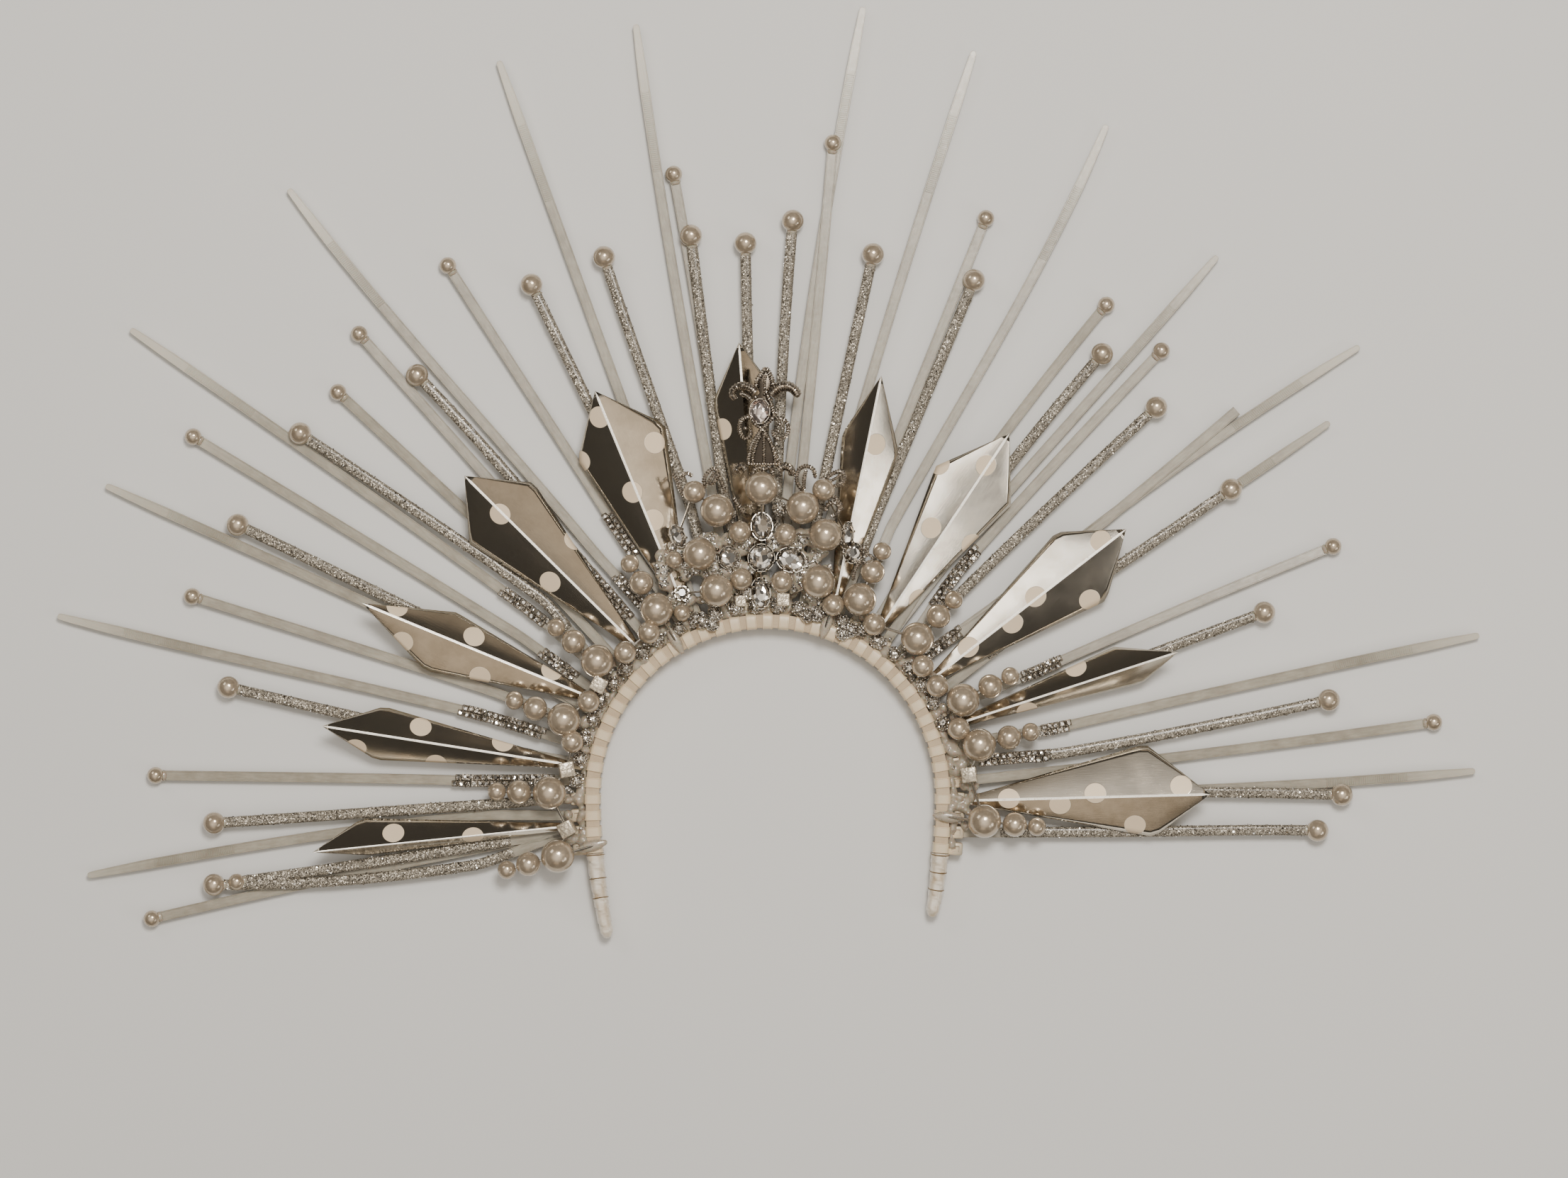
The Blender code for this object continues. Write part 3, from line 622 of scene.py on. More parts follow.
def round_outline(sides):
    """The corners of a round outline, in halves of its sizes."""
    return [(math.cos(2 * math.pi * side / sides), math.sin(2 * math.pi * side / sides)) for side in range(sides)]


glitter = make_glitter("silver_lurex", GLITTER_LIGHT, GLITTER_DARK, BRAID_CELL, 0.5)
flake_metal = make_glitter("loose_flakes", FLAKE_LIGHT, FLAKE_DARK, FLAKE_CELL, 1.0)
draw = random.Random(7)
sleeve_outline = [(pressed(u), pressed(v)) for u, v in round_outline(16)]
for number, kind, route in sleeve_lines:
    length = (route[-1] - route[0]).length
    steps = int(length / SLEEVE_STEP)
    line = []
    sizes = []
    for step in range(steps + 1):
        share = step / steps * (len(route) - 1)
        first = min(int(share), len(route) - 2)
        line.append(route[first].lerp(route[first + 1], share - first))
        worn = 1 + SLEEVE_WEAR * math.sin(step * SLEEVE_WAVE + number) * draw.uniform(0.5, 1)
        fit = SLEEVE_FIT * min(1.0, SLEEVE_MOUTH + step * SLEEVE_WIDENING)
        sizes.append((SLEEVE_WIDTH * worn * fit, SLEEVE_THICKNESS * fit))
    sections = strap_sections(line, sizes, draw.uniform(-SLEEVE_TWIST, SLEEVE_TWIST))
    sleeve = sweep(sleeve_outline, sections)
    flake = bmesh.new()
    bmesh.ops.create_cone(
        flake, cap_ends=True, segments=6, radius1=FLAKE / 2, radius2=FLAKE / 2, depth=FLAKE * FLAKE_THICKNESS
    )
    loose = repeated(flake, flakes_along(sections, int(length * FLAKES_A_METRE)))
    piece(f"sleeve_{number:02d}_{kind}", {glitter: [sleeve], flake_metal: [loose]}, crease=50)

# The tip pearls: moulded beads with a champagne pearl lacquer, pushed over the end of each sleeve or trimmed
# tail, and held by a drop of clear glue that shows as a small collar.
SMALL_BEAD = 0.0080
MEDIUM_BEAD = 0.0105
LARGE_BEAD = 0.0155
BEAD_HOLE = 0.0016
HOLE_DIMPLE = 0.90
COLLAR_RADII = (0.0028, 0.0021)
COLLAR_DEPTH = 0.0016
COLLAR_EDGE = 0.0004
COLLAR_FLAT = 0.7
PEARL_LIGHT = (0.57, 0.475, 0.36, 1)
PEARL_DEEP = (0.39, 0.31, 0.22, 1)
GLUE_LIGHT = (0.56, 0.49, 0.39, 1)
GLUE_DEEP = (0.36, 0.30, 0.22, 1)

# Pearl lacquer: a satin body with fine cloudy layers under a clear gloss coat
pearl, shader, place = new_finish("champagne_pearl", Metallic=0.55, Coat_Weight=1.0, Coat_Roughness=0.05)
cloud = noise(place, 0.004, 4.0, 0.6)
fine = noise(place, 0.0005)
wear(
    shader, Base_Color=blend(spread(cloud, 0.3, 0.7), PEARL_DEEP, PEARL_LIGHT),
    Roughness=spread(fine, 0.2, 0.8, 0.14, 0.22)
)
raise_up(shader, maths("MULTIPLY_ADD", cloud, 0.7, fine), 0.00005, 0.5)

# Hot glue: milky, glossy and a little yellow, with small waves from how it was pressed on
glue, shader, place = new_finish(
    "clear_glue", Transmission_Weight=0.25, Subsurface_Weight=0.3, Subsurface_Scale=0.002,
    Coat_Weight=0.7, Coat_Roughness=0.08
)
cloud = noise(place, 0.003, 3.0, 0.6)
wear(shader, Base_Color=blend(cloud, GLUE_DEEP, GLUE_LIGHT), Roughness=spread(cloud, 0.3, 0.7, 0.18, 0.42))
raise_up(shader, cloud, 0.0006, 0.6)


def bead(width, segments=24, rings=14):
    """A round bead with its hole dimpled in at both ends of its X axis."""
    ball = bmesh.new()
    bmesh.ops.create_uvsphere(ball, u_segments=segments, v_segments=rings, radius=width / 2)
    for corner in ball.verts:
        if corner.co.xy.length < BEAD_HOLE / 2:
            corner.co.z *= HOLE_DIMPLE
    return moved(ball, Matrix.Rotation(math.pi / 2, 4, "Y"))


for group, kinds, width in (("plain", ("pearled", "blob"), SMALL_BEAD), ("sleeved", ("glitter",), MEDIUM_BEAD)):
    for side, numbers in (("left", range(1, 21)), ("right", range(21, 42))):
        places = [stand(point, run) for number, kind, point, run in tip_places if kind in kinds and number in numbers]
        collar = bmesh.new()
        bmesh.ops.create_cone(
            collar, cap_ends=True, segments=16, radius1=COLLAR_RADII[0], radius2=COLLAR_RADII[1], depth=COLLAR_DEPTH
        )
        rounded(collar, collar.edges[:], COLLAR_EDGE)
        moved(collar, Matrix.Diagonal((1, 1, COLLAR_FLAT, 1)) @ Matrix.Rotation(-math.pi / 2, 4, "Y"))
        moved(collar, Matrix.Translation((-width / 2 - CLEARANCE, 0, 0)))
        looks = {pearl: [repeated(bead(width), places)], glue: [repeated(collar, places)]}
        piece(f"tip_pearls_{group}_{side}", looks)

# The card fins: kites of silver mirror card with cream dots printed on them, creased from foot to tip, glued by
# the foot to the heads of the ties, and leaning forward over the rays. Their cut edges show the paper core.
FIN_REACH = 0.2120
FIN_FOOT_RADIUS = 0.0920
FIN_FOOT_WIDTH = 0.0030
FIN_FOOT_RISE = 0.0008
FIN_TIP_RISE = 0.0115
FIN_STEPS = 28
HALF_STEPS = 8
CARD = 0.0007
CARD_BOW = 0.00015
CAD_CARD = 0.0010
DOT_WIDTH = 0.0100
DOT_SOFTNESS = 0.00012
HALF_OFFSET = 0.05
FOLD_WIDTH = 0.0012
FOLD_DROP = 0.9
PRESSED_FOLD = {6: 0.82}
MIRROR = (0.84, 0.78, 0.68, 1)
MIRROR_WARM = (0.70, 0.63, 0.52, 1)
FOLD_CRACKLE_AND_HIGHLIGHT = (0.98, 0.95, 0.88, 1)
DOT_CREAM = (0.90, 0.74, 0.54, 1)
DOT_SHADE = (0.82, 0.66, 0.47, 1)
CARD_CORE = (0.74, 0.69, 0.60, 1)
CARD_CORE_SHADE = (0.60, 0.55, 0.47, 1)

HEAD_FRONT = BAND_LEVEL + HEAD_DEPTH / 2
FIN_BACK = SLEEVE_LEVEL + SLEEVE_THICKNESS / 2 + CLEARANCE
FIN_FOOT = HEAD_FRONT + CLEARANCE + FIN_FOOT_RISE

# The photograph's pixels: how large one is on the crown, and where the arch's centre is
PHOTO_PIXEL = 0.00033
PHOTO_CENTRE = (1083, 1123)

# One row for each fin: its foot's angle, then the angle and the share of FIN_REACH of its tip, of its left
# shoulder and of its right shoulder
FINS = (
    (188.6, 186.9, 1.000, 188.4, 0.885, 183.1, 0.891),
    (170.9, 170.9, 0.984, 174.7, 0.864, 166.8, 0.864),
    (150.6, 154.4, 0.981, 159.9, 0.799, 149.4, 0.793),
    (131.1, 133.3, 0.964, 139.7, 0.858, 126.7, 0.858),
    (113.9, 113.0, 0.963, 119.5, 0.847, 105.4, 0.847),
    (93.0, 93.6, 0.994, 97.9, 0.874, 89.5, 0.903),
    (70.5, 74.9, 0.953, 78.4, 0.813, 68.9, 0.802),
    (56.2, 56.4, 0.953, 63.0, 0.813, 50.1, 0.832),
    (35.5, 36.8, 0.977, 42.5, 0.858, 30.0, 0.858),
    (21.0, 19.5, 0.950, 23.4, 0.826, 16.8, 0.858),
    (-1.2, 0.4, 0.966, 7.9, 0.836, -6.0, 0.852),
)

# The photograph's pixel at the middle of each printed dot, by fin. A dot on a crease shows on both halves.
DOT_PIXELS = (
    ((557, 1174), (669, 1179)),
    ((595, 1025), (710, 1047), (504, 1054), (616, 1076)),
    ((670, 898), (570, 905), (678, 954), (779, 946), (563, 856)),
    ((708, 726), (777, 821), (811, 761)),
    ((847, 590), (924, 625), (893, 695), (923, 734), (819, 651)),
    ((1020, 606),),
    ((1235, 628),),
    ((1389, 658), (1313, 745), (1370, 768), (1296, 846), (1325, 655)),
    ((1550, 763), (1536, 846), (1459, 842), (1427, 879), (1365, 913)),
    ((1517, 942), (1448, 1001)),
    ((1663, 1107), (1543, 1118), (1422, 1126), (1494, 1134), (1600, 1163)),
)


def photo_point(pixel, height=0.0):
    """The point of the crown at a pixel of the photograph."""
    x, y = pixel
    return ARCH_CENTRE + Vector(((x - PHOTO_CENTRE[0]) * PHOTO_PIXEL, (PHOTO_CENTRE[1] - y) * PHOTO_PIXEL, height))


def make_mirror_card(number, dots):
    """Mirror foil on card: slightly wavy, with fine scratches and finger marks, and the dots printed on top."""
    finish, shader, place = new_finish(f"mirror_card_{number:02d}", Coat_Weight=0.15, Coat_Roughness=0.2)
    surface = on_surface(shader)
    nearest = None
    for centre in dots:
        away = distance(surface, centre)
        nearest = maths("MINIMUM", nearest, away) if nearest else away
    dot = spread(nearest, DOT_WIDTH / 2 + DOT_SOFTNESS, DOT_WIDTH / 2 - DOT_SOFTNESS)
    scratch = noise(stretched(surface, (0.05, 1, 1), 0.9), 0.00035, 3.0, 0.7)
    smudge = noise(place, 0.014, 4.0, 0.6)
    foil = blend(spread(smudge, 0.35, 0.75), MIRROR, MIRROR_WARM)
    rough = maths("MULTIPLY_ADD", smudge, 0.16, maths("MULTIPLY", scratch, 0.12))
    wear(
        shader, Base_Color=blend(dot, foil, blend(smudge, DOT_SHADE, DOT_CREAM)),
        Roughness=maths("MULTIPLY_ADD", dot, 0.25, rough), Metallic=spread(dot, 0, 1, 1.0, 0.12)
    )
    waves = raise_up(shader, noise(place, 0.035, 1.0, 0.4), 0.0006, 0.35)
    lines = raise_up(shader, scratch, 0.00003, 0.4, waves)
    raise_up(shader, dot, 0.00005, 0.6, lines)
    return finish


# The paper core of the card where it is cut
card_edge, shader, place = new_finish("card_edge", Roughness=0.85)
wear(shader, Base_Color=blend(noise(place, 0.0004, 2.0, 0.7), CARD_CORE_SHADE, CARD_CORE))

# The foil along the crease: crackled white where it was folded, and painted white along it as a highlight
fold_foil, shader, place = new_finish("creased_foil", Metallic=0.7)
crack = noise(place, 0.0007, 3.0, 0.7)
# The near-white colour is partly real crackle and partly a painted highlight along the crease
wear(
    shader, Base_Color=blend(spread(crack, 0.3, 0.5), MIRROR_WARM, FOLD_CRACKLE_AND_HIGHLIGHT),
    Roughness=spread(crack, 0.2, 0.8, 0.22, 0.45)
)
raise_up(shader, crack, 0.00008, 0.5)

for number, (row, pixels) in enumerate(zip(FINS, DOT_PIXELS), start=1):
    foot_angle, tip_angle, tip_share, *shoulders = row
    foot = polar(foot_angle, FIN_FOOT_RADIUS, FIN_FOOT + CAD_CARD)
    tip = polar(tip_angle, tip_share * FIN_REACH, FIN_BACK + FIN_TIP_RISE + CAD_CARD)
    length = (tip - foot).length
    crease = (tip - foot) / length
    halves = {}
    dots = []
    for side, angle, share in ((1, *shoulders[:2]), (-1, *shoulders[2:])):
        shoulder = polar(angle, share * FIN_REACH, FIN_BACK + CAD_CARD)
        near_foot = foot + heading(foot_angle + 90) * side * FIN_FOOT_WIDTH / 2 - UP * FIN_FOOT_RISE
        normal = (tip - foot).cross(shoulder - foot).normalized() * side
        halves[side] = (shoulder, near_foot, normal)
        shoulder_out = (shoulder - foot) - crease * (shoulder - foot).dot(crease)
        for pixel in pixels:
            spot = photo_point(pixel) - foot
            spot.z = -(spot.x * normal.x + spot.y * normal.y) / normal.z
            along = spot.dot(crease)
            beyond = (spot - crease * along).dot(shoulder_out.normalized())
            if beyond > -DOT_WIDTH / 4:
                dots.append((along, side * (HALF_OFFSET + beyond), 0))
    card = bmesh.new()
    bmesh.ops.create_grid(card, x_segments=FIN_STEPS, y_segments=2 * HALF_STEPS, size=1.0)
    metres = card.loops.layers.uv.new("metres")
    fold = {corner for corner in card.verts if abs(corner.co.y) < 0.5 / HALF_STEPS}
    pressed_share = PRESSED_FOLD.get(number, 0)
    flat = {}
    for corner in card.verts:
        share = (corner.co.x + 1) / 2
        out = abs(corner.co.y)
        shoulder, near_foot, normal = halves[1 if corner.co.y > 0 else -1]
        knee = (shoulder - foot).dot(crease) / length
        if share < knee:
            edge = near_foot.lerp(shoulder, share / knee)
        else:
            edge = shoulder.lerp(tip, (share - knee) / (1 - knee))
        middle = foot.lerp(tip, share)
        narrow = min(0.9, FOLD_WIDTH / 2 / max((edge - middle).length, SAME_POINT))
        if corner not in fold:
            out = narrow + (1 - narrow) * (out - 1 / HALF_STEPS) / (1 - 1 / HALF_STEPS)
        flat[corner] = middle.lerp(edge, out)
        corner.co = flat[corner] + normal * CARD_BOW * math.sin(math.pi * min(1.0, out)) * math.sin(math.pi * share)
        if corner in fold and share > pressed_share:
            corner.co.z -= (middle.z - edge.z) * narrow * FOLD_DROP
    for face in card.faces:
        middle = sum((flat[corner] for corner in face.verts), Vector()) / len(face.verts) - foot
        side = 1 if middle.dot(UP.cross(crease)) > 0 else -1
        if middle.dot(crease) / length > pressed_share and any(corner in fold for corner in face.verts):
            face.material_index = 2
        for loop in face.loops:
            spot = flat[loop.vert] - foot
            along = spot.dot(crease)
            loop[metres].uv = (along, side * (HALF_OFFSET + (spot - crease * along).length))
    bmesh.ops.remove_doubles(card, verts=card.verts, dist=SAME_POINT)
    looks = {make_mirror_card(number, dots): [card], card_edge: [], fold_foil: []}
    fin = piece(f"card_fin_{number:02d}", looks, [f"fin_{number:02d}"], 10)
    solid = fin.modifiers.new("card", "SOLIDIFY")
    solid.thickness = CARD
    solid.offset = -1
    solid.material_offset_rim = 1

# The rhinestone strips: two staggered rows of foil-backed stones in square silver cups, cut from a cup chain and
# glued along the inner end of some of the tails.
STONE = 0.0025
STONE_DEPTH = 0.0019
CUP = 0.0028
CUP_STEP = 1.04
ROW_OFFSET = 0.52
CUP_EDGE = 0.08
CUP_CORNER = 0.4
CUP_LEAN = 0.13
STRIP_RISE = 0.0010
CRYSTAL = (0.88, 0.85, 0.80, 1)
CRYSTAL_DEEP = (0.17, 0.14, 0.105, 1)
SILVER = (0.50, 0.46, 0.40, 1)
SILVER_DARK = (0.16, 0.135, 0.105, 1)
STRIP_SILVER = (0.27, 0.235, 0.19, 1)

# The tie, the kind of its tail, and the pixels from the arch's centre between which its strip lies
STRIPS = (
    (5, "pearled", 438, 305),
    (7, "long", 447, 330),
    (10, "pearled", 375, 320),
    (11, "long", 476, 397),
    (14, "glitter", 400, 320),
    (15, "long", 372, 318),
    (16, "pearled", 453, 391),
    (29, "pearled", 455, 355),
    (30, "long", 360, 300),
    (33, "pearled", 451, 397),
    (35, "long", 438, 397),
    (36, "glitter", 395, 306),
)

# A square cup's claw: thickness and height, rounding and level, as shares of the cup's width and height
CORNER_CLAW = (0.2, 0.9, 0.06, 1.25)

# The rings of corners of a cut stone: the share of its height and of its size, and whether the ring is turned by
# half a facet
STONE_RINGS = ((-0.42, 0.30, False), (-0.05, 1.0, True), (0.07, 1.0, True), (0.26, 0.82, False), (0.38, 0.52, True))


def make_stone_finish(name, light, deep, facet=0.0013, tilt=0.95):
    """Foil-backed glass: the foil throws back light from many small facets under a clear hard surface."""
    finish, shader, place = new_finish(name, Metallic=0.92, Coat_Weight=1.0, Coat_Roughness=0.02, Coat_IOR=1.6)
    grey = leaning_cells(shader, place, facet, tilt)[1]
    rough = spread(noise(place, 0.001, 1.0), 0.3, 0.7, 0.03, 0.10)
    wear(shader, Base_Color=blend(spread(grey, 0.1, 0.6), deep, light), Roughness=rough)
    return finish


def make_silver(name, light, dark, hollow=0.003):
    """Cast or plated silver: bright where it is rubbed, darker in its hollows, with a faint hammered surface."""
    finish, shader, place = new_finish(name, Metallic=1.0)
    patch = noise(place, hollow, 4.0, 0.65)
    raised = spread(add(place, "NewGeometry", {}).outputs["Pointiness"], 0.44, 0.56)
    share = maths("MULTIPLY", spread(patch, 0.25, 0.6, 0.35, 1.0), maths("MULTIPLY_ADD", raised, 0.8, 0.2))
    wear(shader, Base_Color=blend(share, dark, light), Roughness=spread(patch, 0.2, 0.8, 0.34, 0.16))
    raise_up(shader, noise(place, 0.0006, 3.0, 0.6), 0.00006, 0.5)
    return finish


def cut_stone(width, length, height, sides=8):
    """A cut stone with a table, star facets round it, a girdle and a pavilion."""
    stone = bmesh.new()
    for level, share, turned in STONE_RINGS:
        ring = bmesh.ops.create_circle(stone, segments=sides, radius=0.5)["verts"]
        place = Matrix.Translation((0, 0, level * height)) @ Matrix.Diagonal((share * length, share * width, 1, 1))
        bmesh.ops.transform(stone, matrix=place @ Matrix.Rotation(turned * math.pi / sides, 4, "Z"), verts=ring)
    bmesh.ops.delete(stone, geom=stone.edges[:], context="EDGES_FACES")
    bmesh.ops.convex_hull(stone, input=stone.verts[:])
    bmesh.ops.dissolve_limit(stone, angle_limit=0.02, verts=stone.verts, edges=stone.edges)
    return stone


def square_cup(width, height):
    """A square silver cup with a claw at each corner."""
    parts = [block((width, width, height), width * CUP_EDGE, Matrix.Translation((0, 0, height / 2)), 1)]
    thick, tall, edge, level = CORNER_CLAW
    for u in (-CUP_CORNER, CUP_CORNER):
        for v in (-CUP_CORNER, CUP_CORNER):
            at = Matrix.Translation((u * width, v * width, height * level))
            parts.append(block((width * thick, width * thick, height * tall), width * edge, at, 1))
    return merge(parts)


def along_line(line, radius):
    """The point and the direction on a tail's line where it is that far from the arch's centre."""
    for near, far in zip(line, line[1:]):
        low, high = ((end - ARCH_CENTRE).xy.length for end in (near, far))
        if low <= radius <= high:
            return near.lerp(far, (radius - low) / (high - low)), (far - near).normalized()
    return line[0], (line[1] - line[0]).normalized()


crystal = make_stone_finish("small_crystal", CRYSTAL, CRYSTAL_DEEP)
strip_silver = make_silver("dulled_silver", STRIP_SILVER, SILVER_DARK)
bright_silver = make_silver("bright_silver", SILVER, SILVER_DARK)
draw = random.Random(12)
for number, kind, outer, inner in STRIPS:
    top = TIE_THICKNESS / 2 if kind != "glitter" else SLEEVE_THICKNESS / 2
    cups = []
    radius = inner * PHOTO_PIXEL
    while radius < outer * PHOTO_PIXEL:
        point, run = along_line(tail_lines[number, kind], radius)
        for side in (-1, 1):
            lean = Vector([draw.gauss(0, CUP_LEAN) for _ in range(3)])
            shift = run * (CUP / 2 if side > 0 else 0) + UP.cross(run) * side * CUP * ROW_OFFSET + UP * top
            cups.append(stand(point + shift, run, UP + lean))
        radius += CUP * CUP_STEP
    stones = [cup @ Matrix.Translation((0, 0, STRIP_RISE)) for cup in cups]
    looks = {
        strip_silver: [repeated(square_cup(CUP, STRIP_RISE), cups)],
        crystal: [repeated(cut_stone(STONE, STONE, STONE_DEPTH), stones)],
    }
    piece(f"rhinestones_{number:02d}", looks, crease=12)

# The garlands: pearl beads and foil cubes threaded on silver wire along the outer side of the band, with a short
# branch of three pearls standing out at each large one. The wire's ends are bound down over the loops.
GARLAND_RADIUS = 0.0940
LARGE_BEAD_RADIUS = 0.1010
BEAD_SPACING = 0.0012
BRANCH_DROP = 0.0020
BRANCH_SWELL = 1.085
CUBE = 0.0070
CUBE_EDGE = 0.0007
CUBE_TURNS = (0.4, 0.2)
CRINKLE = 0.0022
WIRE = 0.0012
WIRE_SIDES = 8
BEAD_BACK = FIN_FOOT + CAD_CARD + 2 * CLEARANCE
BEAD_LEVEL = BEAD_BACK + MEDIUM_BEAD / 2
WIDTHS = {"small": SMALL_BEAD, "medium": MEDIUM_BEAD, "large": LARGE_BEAD}
CUBE_WHITE = (0.74, 0.65, 0.51, 1)
CUBE_CREASE_SHADE = (0.38, 0.32, 0.24, 1)

# How far a wire sags between two beads, by its share of the way
WIRE_SAGS = ((0, 0), (0.25, 0.0006), (0.5, 0.0008), (0.75, 0.0006), (1, 0))

# What is threaded up the left side and down the right one, with its angle in degrees
GARLANDS = {
    "left": (
        ("large", 195.7), ("cube", 188.9), ("large", 178.9), ("cube", 172.2), ("medium", 164.2), ("large", 159.2),
        ("medium", 151.9), ("cube", 146.3), ("large", 141.4), ("medium", 134.6), ("medium", 125.8), ("large", 120.6),
    ),
    "right": (
        ("medium", 71.2), ("large", 65.0), ("medium", 58.4), ("large", 46.6), ("medium", 40.2), ("medium", 33.2),
        ("large", 26.4), ("medium", 19.7), ("large", 13.8), ("cube", 6.4), ("large", -6.4),
    ),
}


def rod(points, width):
    """A round wire through points."""
    return sweep(round_outline(WIRE_SIDES), strap_sections(points, [(width, width)] * len(points)))


def turned_cube(side, edge, place, spin, tip_over):
    """A cube turned by chance, up to a spin and a tip in radians."""
    spun = Matrix.Rotation(draw.uniform(-spin, spin), 4, "Z")
    tipped = Matrix.Rotation(draw.uniform(-tip_over, tip_over), 4, "X")
    return block((side, side, side), edge, place @ spun @ tipped)


# Crinkled pearly foil over a plastic cube, with painted shade darkening its creases
foil_cube, shader, place = new_finish("foil_cube", Metallic=0.45, Coat_Weight=0.8, Coat_Roughness=0.08)
folds = add(place, "TexVoronoi", {"Vector": place, "Scale": 1 / CRINKLE}, feature="DISTANCE_TO_EDGE")
crinkle = maths("ADD", folds.outputs["Distance"], noise(place, 0.0012, 3.0))
# The darker colour along the crinkle's creases, the low lines of its bump, is painted shade
wear(
    shader, Base_Color=blend(spread(crinkle, 0.4, 0.9), CUBE_CREASE_SHADE, CUBE_WHITE),
    Roughness=spread(crinkle, 0.3, 1.0, 0.12, 0.3)
)
raise_up(shader, crinkle, 0.0005, 0.7)

draw = random.Random(23)
for hand, row in GARLANDS.items():
    places = {kind: [] for kind in WIDTHS}
    cubes = []
    main = []
    wires = []
    for kind, angle in row:
        centre = polar(angle, LARGE_BEAD_RADIUS if kind == "large" else GARLAND_RADIUS, BEAD_LEVEL)
        main.append(centre)
        if kind == "cube":
            cubes.append(turned_cube(CUBE, CUBE_EDGE, stand(centre, heading(angle + 90)), *CUBE_TURNS))
            continue
        places[kind].append(stand(centre, heading(angle if kind == "large" else angle + 90)))
        if kind == "large":
            branch = [centre]
            radius = LARGE_BEAD_RADIUS
            for inner, outer in (("large", "medium"), ("medium", "small")):
                radius += (WIDTHS[inner] + WIDTHS[outer]) / 2 + BEAD_SPACING
                branch.append(polar(angle, radius, BEAD_LEVEL - BRANCH_DROP * len(branch)))
                places[outer].append(stand(branch[-1], heading(angle)) @ Matrix.Scale(BRANCH_SWELL, 4))
            wires.append(rod(branch, WIRE))
    for (_, angle), centre in ((row[0], main[0]), (row[-1], main[-1])):
        wires.append(rod([polar(angle, ARCH_RADIUS, LOOP_DEPTH + CLEARANCE + WIRE / 2), centre], WIRE))
    for near, far in zip(main, main[1:]):
        wires.append(rod([near.lerp(far, share) - UP * sag for share, sag in WIRE_SAGS], WIRE))
    pearls = [repeated(bead(WIDTHS[kind], 28, 18), spots) for kind, spots in places.items() if spots]
    looks = {pearl: pearls, foil_cube: cubes, bright_silver: wires}
    piece(f"garland_beads_{hand}", looks, [f"bead_garland_{hand}"])

# The centre cluster: pearls, cut stones in silver cups and foil cubes, wired one after another and glued down in
# a bank over the front of the arch, rising with the fins behind it.
CLUSTER_REACH = 0.1453
STONE_HEIGHT = 0.0065
STONE_FIT = 0.94
STONE_LEAN = (0.12, 0.28)
CLUSTER_CUBES = {"cube": CUBE * 0.86, "chip_cube": 0.0052}
CLUSTER_CUBE_EDGE = 0.0006
CLUSTER_CUBE_TURNS = (0.5, 0.3)
PEARL_TURNS = (50, 130)
CLUSTER_WIRE = WIRE * 0.7
CLUSTER_SAG = 0.0006
CLAWS = 8
CLAW = (0.0007, 0.0010)
CLAW_EDGE = 0.00025
CLAW_TILT = 0.5
CLAW_FIT = 0.99
CLAW_LEVEL = 0.07
CLAW_SHARE = 0.36
CUP_FOOT = 0.36
CUP_RIM = 0.53
CUP_SHARE = 0.5
CUP_HOLLOW = 0.3
CUP_WALL = 0.0004
CUP_LIP = 0.0002
RIDGE_SLOPE = (FIN_BACK + FIN_TIP_RISE - FIN_FOOT) / (FIN_REACH - FIN_FOOT_RADIUS)

# Each bead or stone with its angle in degrees and its share of the cluster's reach
CLUSTER = (
    ("small", 114.9, 0.648), ("spark", 112.8, 0.705), ("large", 103.9, 0.679), ("large", 105.6, 0.804),
    ("small", 111.5, 0.813), ("pear", 109.0, 0.879), ("medium", 103.5, 1.000), ("large", 100.0, 0.927),
    ("medium", 96.0, 0.849), ("short_oval", 99.1, 0.773), ("chip_cube", 98.1, 0.631), ("medium", 96.9, 0.700),
    ("drop", 92.0, 0.650), ("oval", 91.5, 0.763), ("tall_oval", 91.2, 0.863), ("large", 91.1, 0.983),
    ("large", 83.1, 0.929), ("medium", 79.7, 0.995), ("navette", 73.0, 0.869), ("rosette", 70.6, 0.825),
    ("large", 77.6, 0.855), ("medium", 86.1, 0.838), ("wide_oval", 84.3, 0.760), ("medium", 86.2, 0.688),
    ("cube", 85.7, 0.631), ("large", 76.8, 0.705),
)

# Cut stones: width across the crown's radius, length along it, and turn in degrees
STONES = {
    "tall_oval": (0.0100, 0.0128, 0.0),
    "short_oval": (0.0102, 0.0104, 0.0),
    "oval": (0.0122, 0.0126, 0.0),
    "wide_oval": (0.0112, 0.0138, 80.0),
    "rosette": (0.0098, 0.0098, 0.0),
    "navette": (0.0060, 0.0132, 12.0),
    "pear": (0.0070, 0.0110, 5.0),
    "spark": (0.0068, 0.0068, 0.0),
    "drop": (0.0092, 0.0142, 0.0),
}


def bank_level(radius):
    """How high the bank of beads begins at a radius: it rises with the ridges of the fins."""
    return BEAD_BACK + RIDGE_SLOPE * (radius - FIN_FOOT_RADIUS)


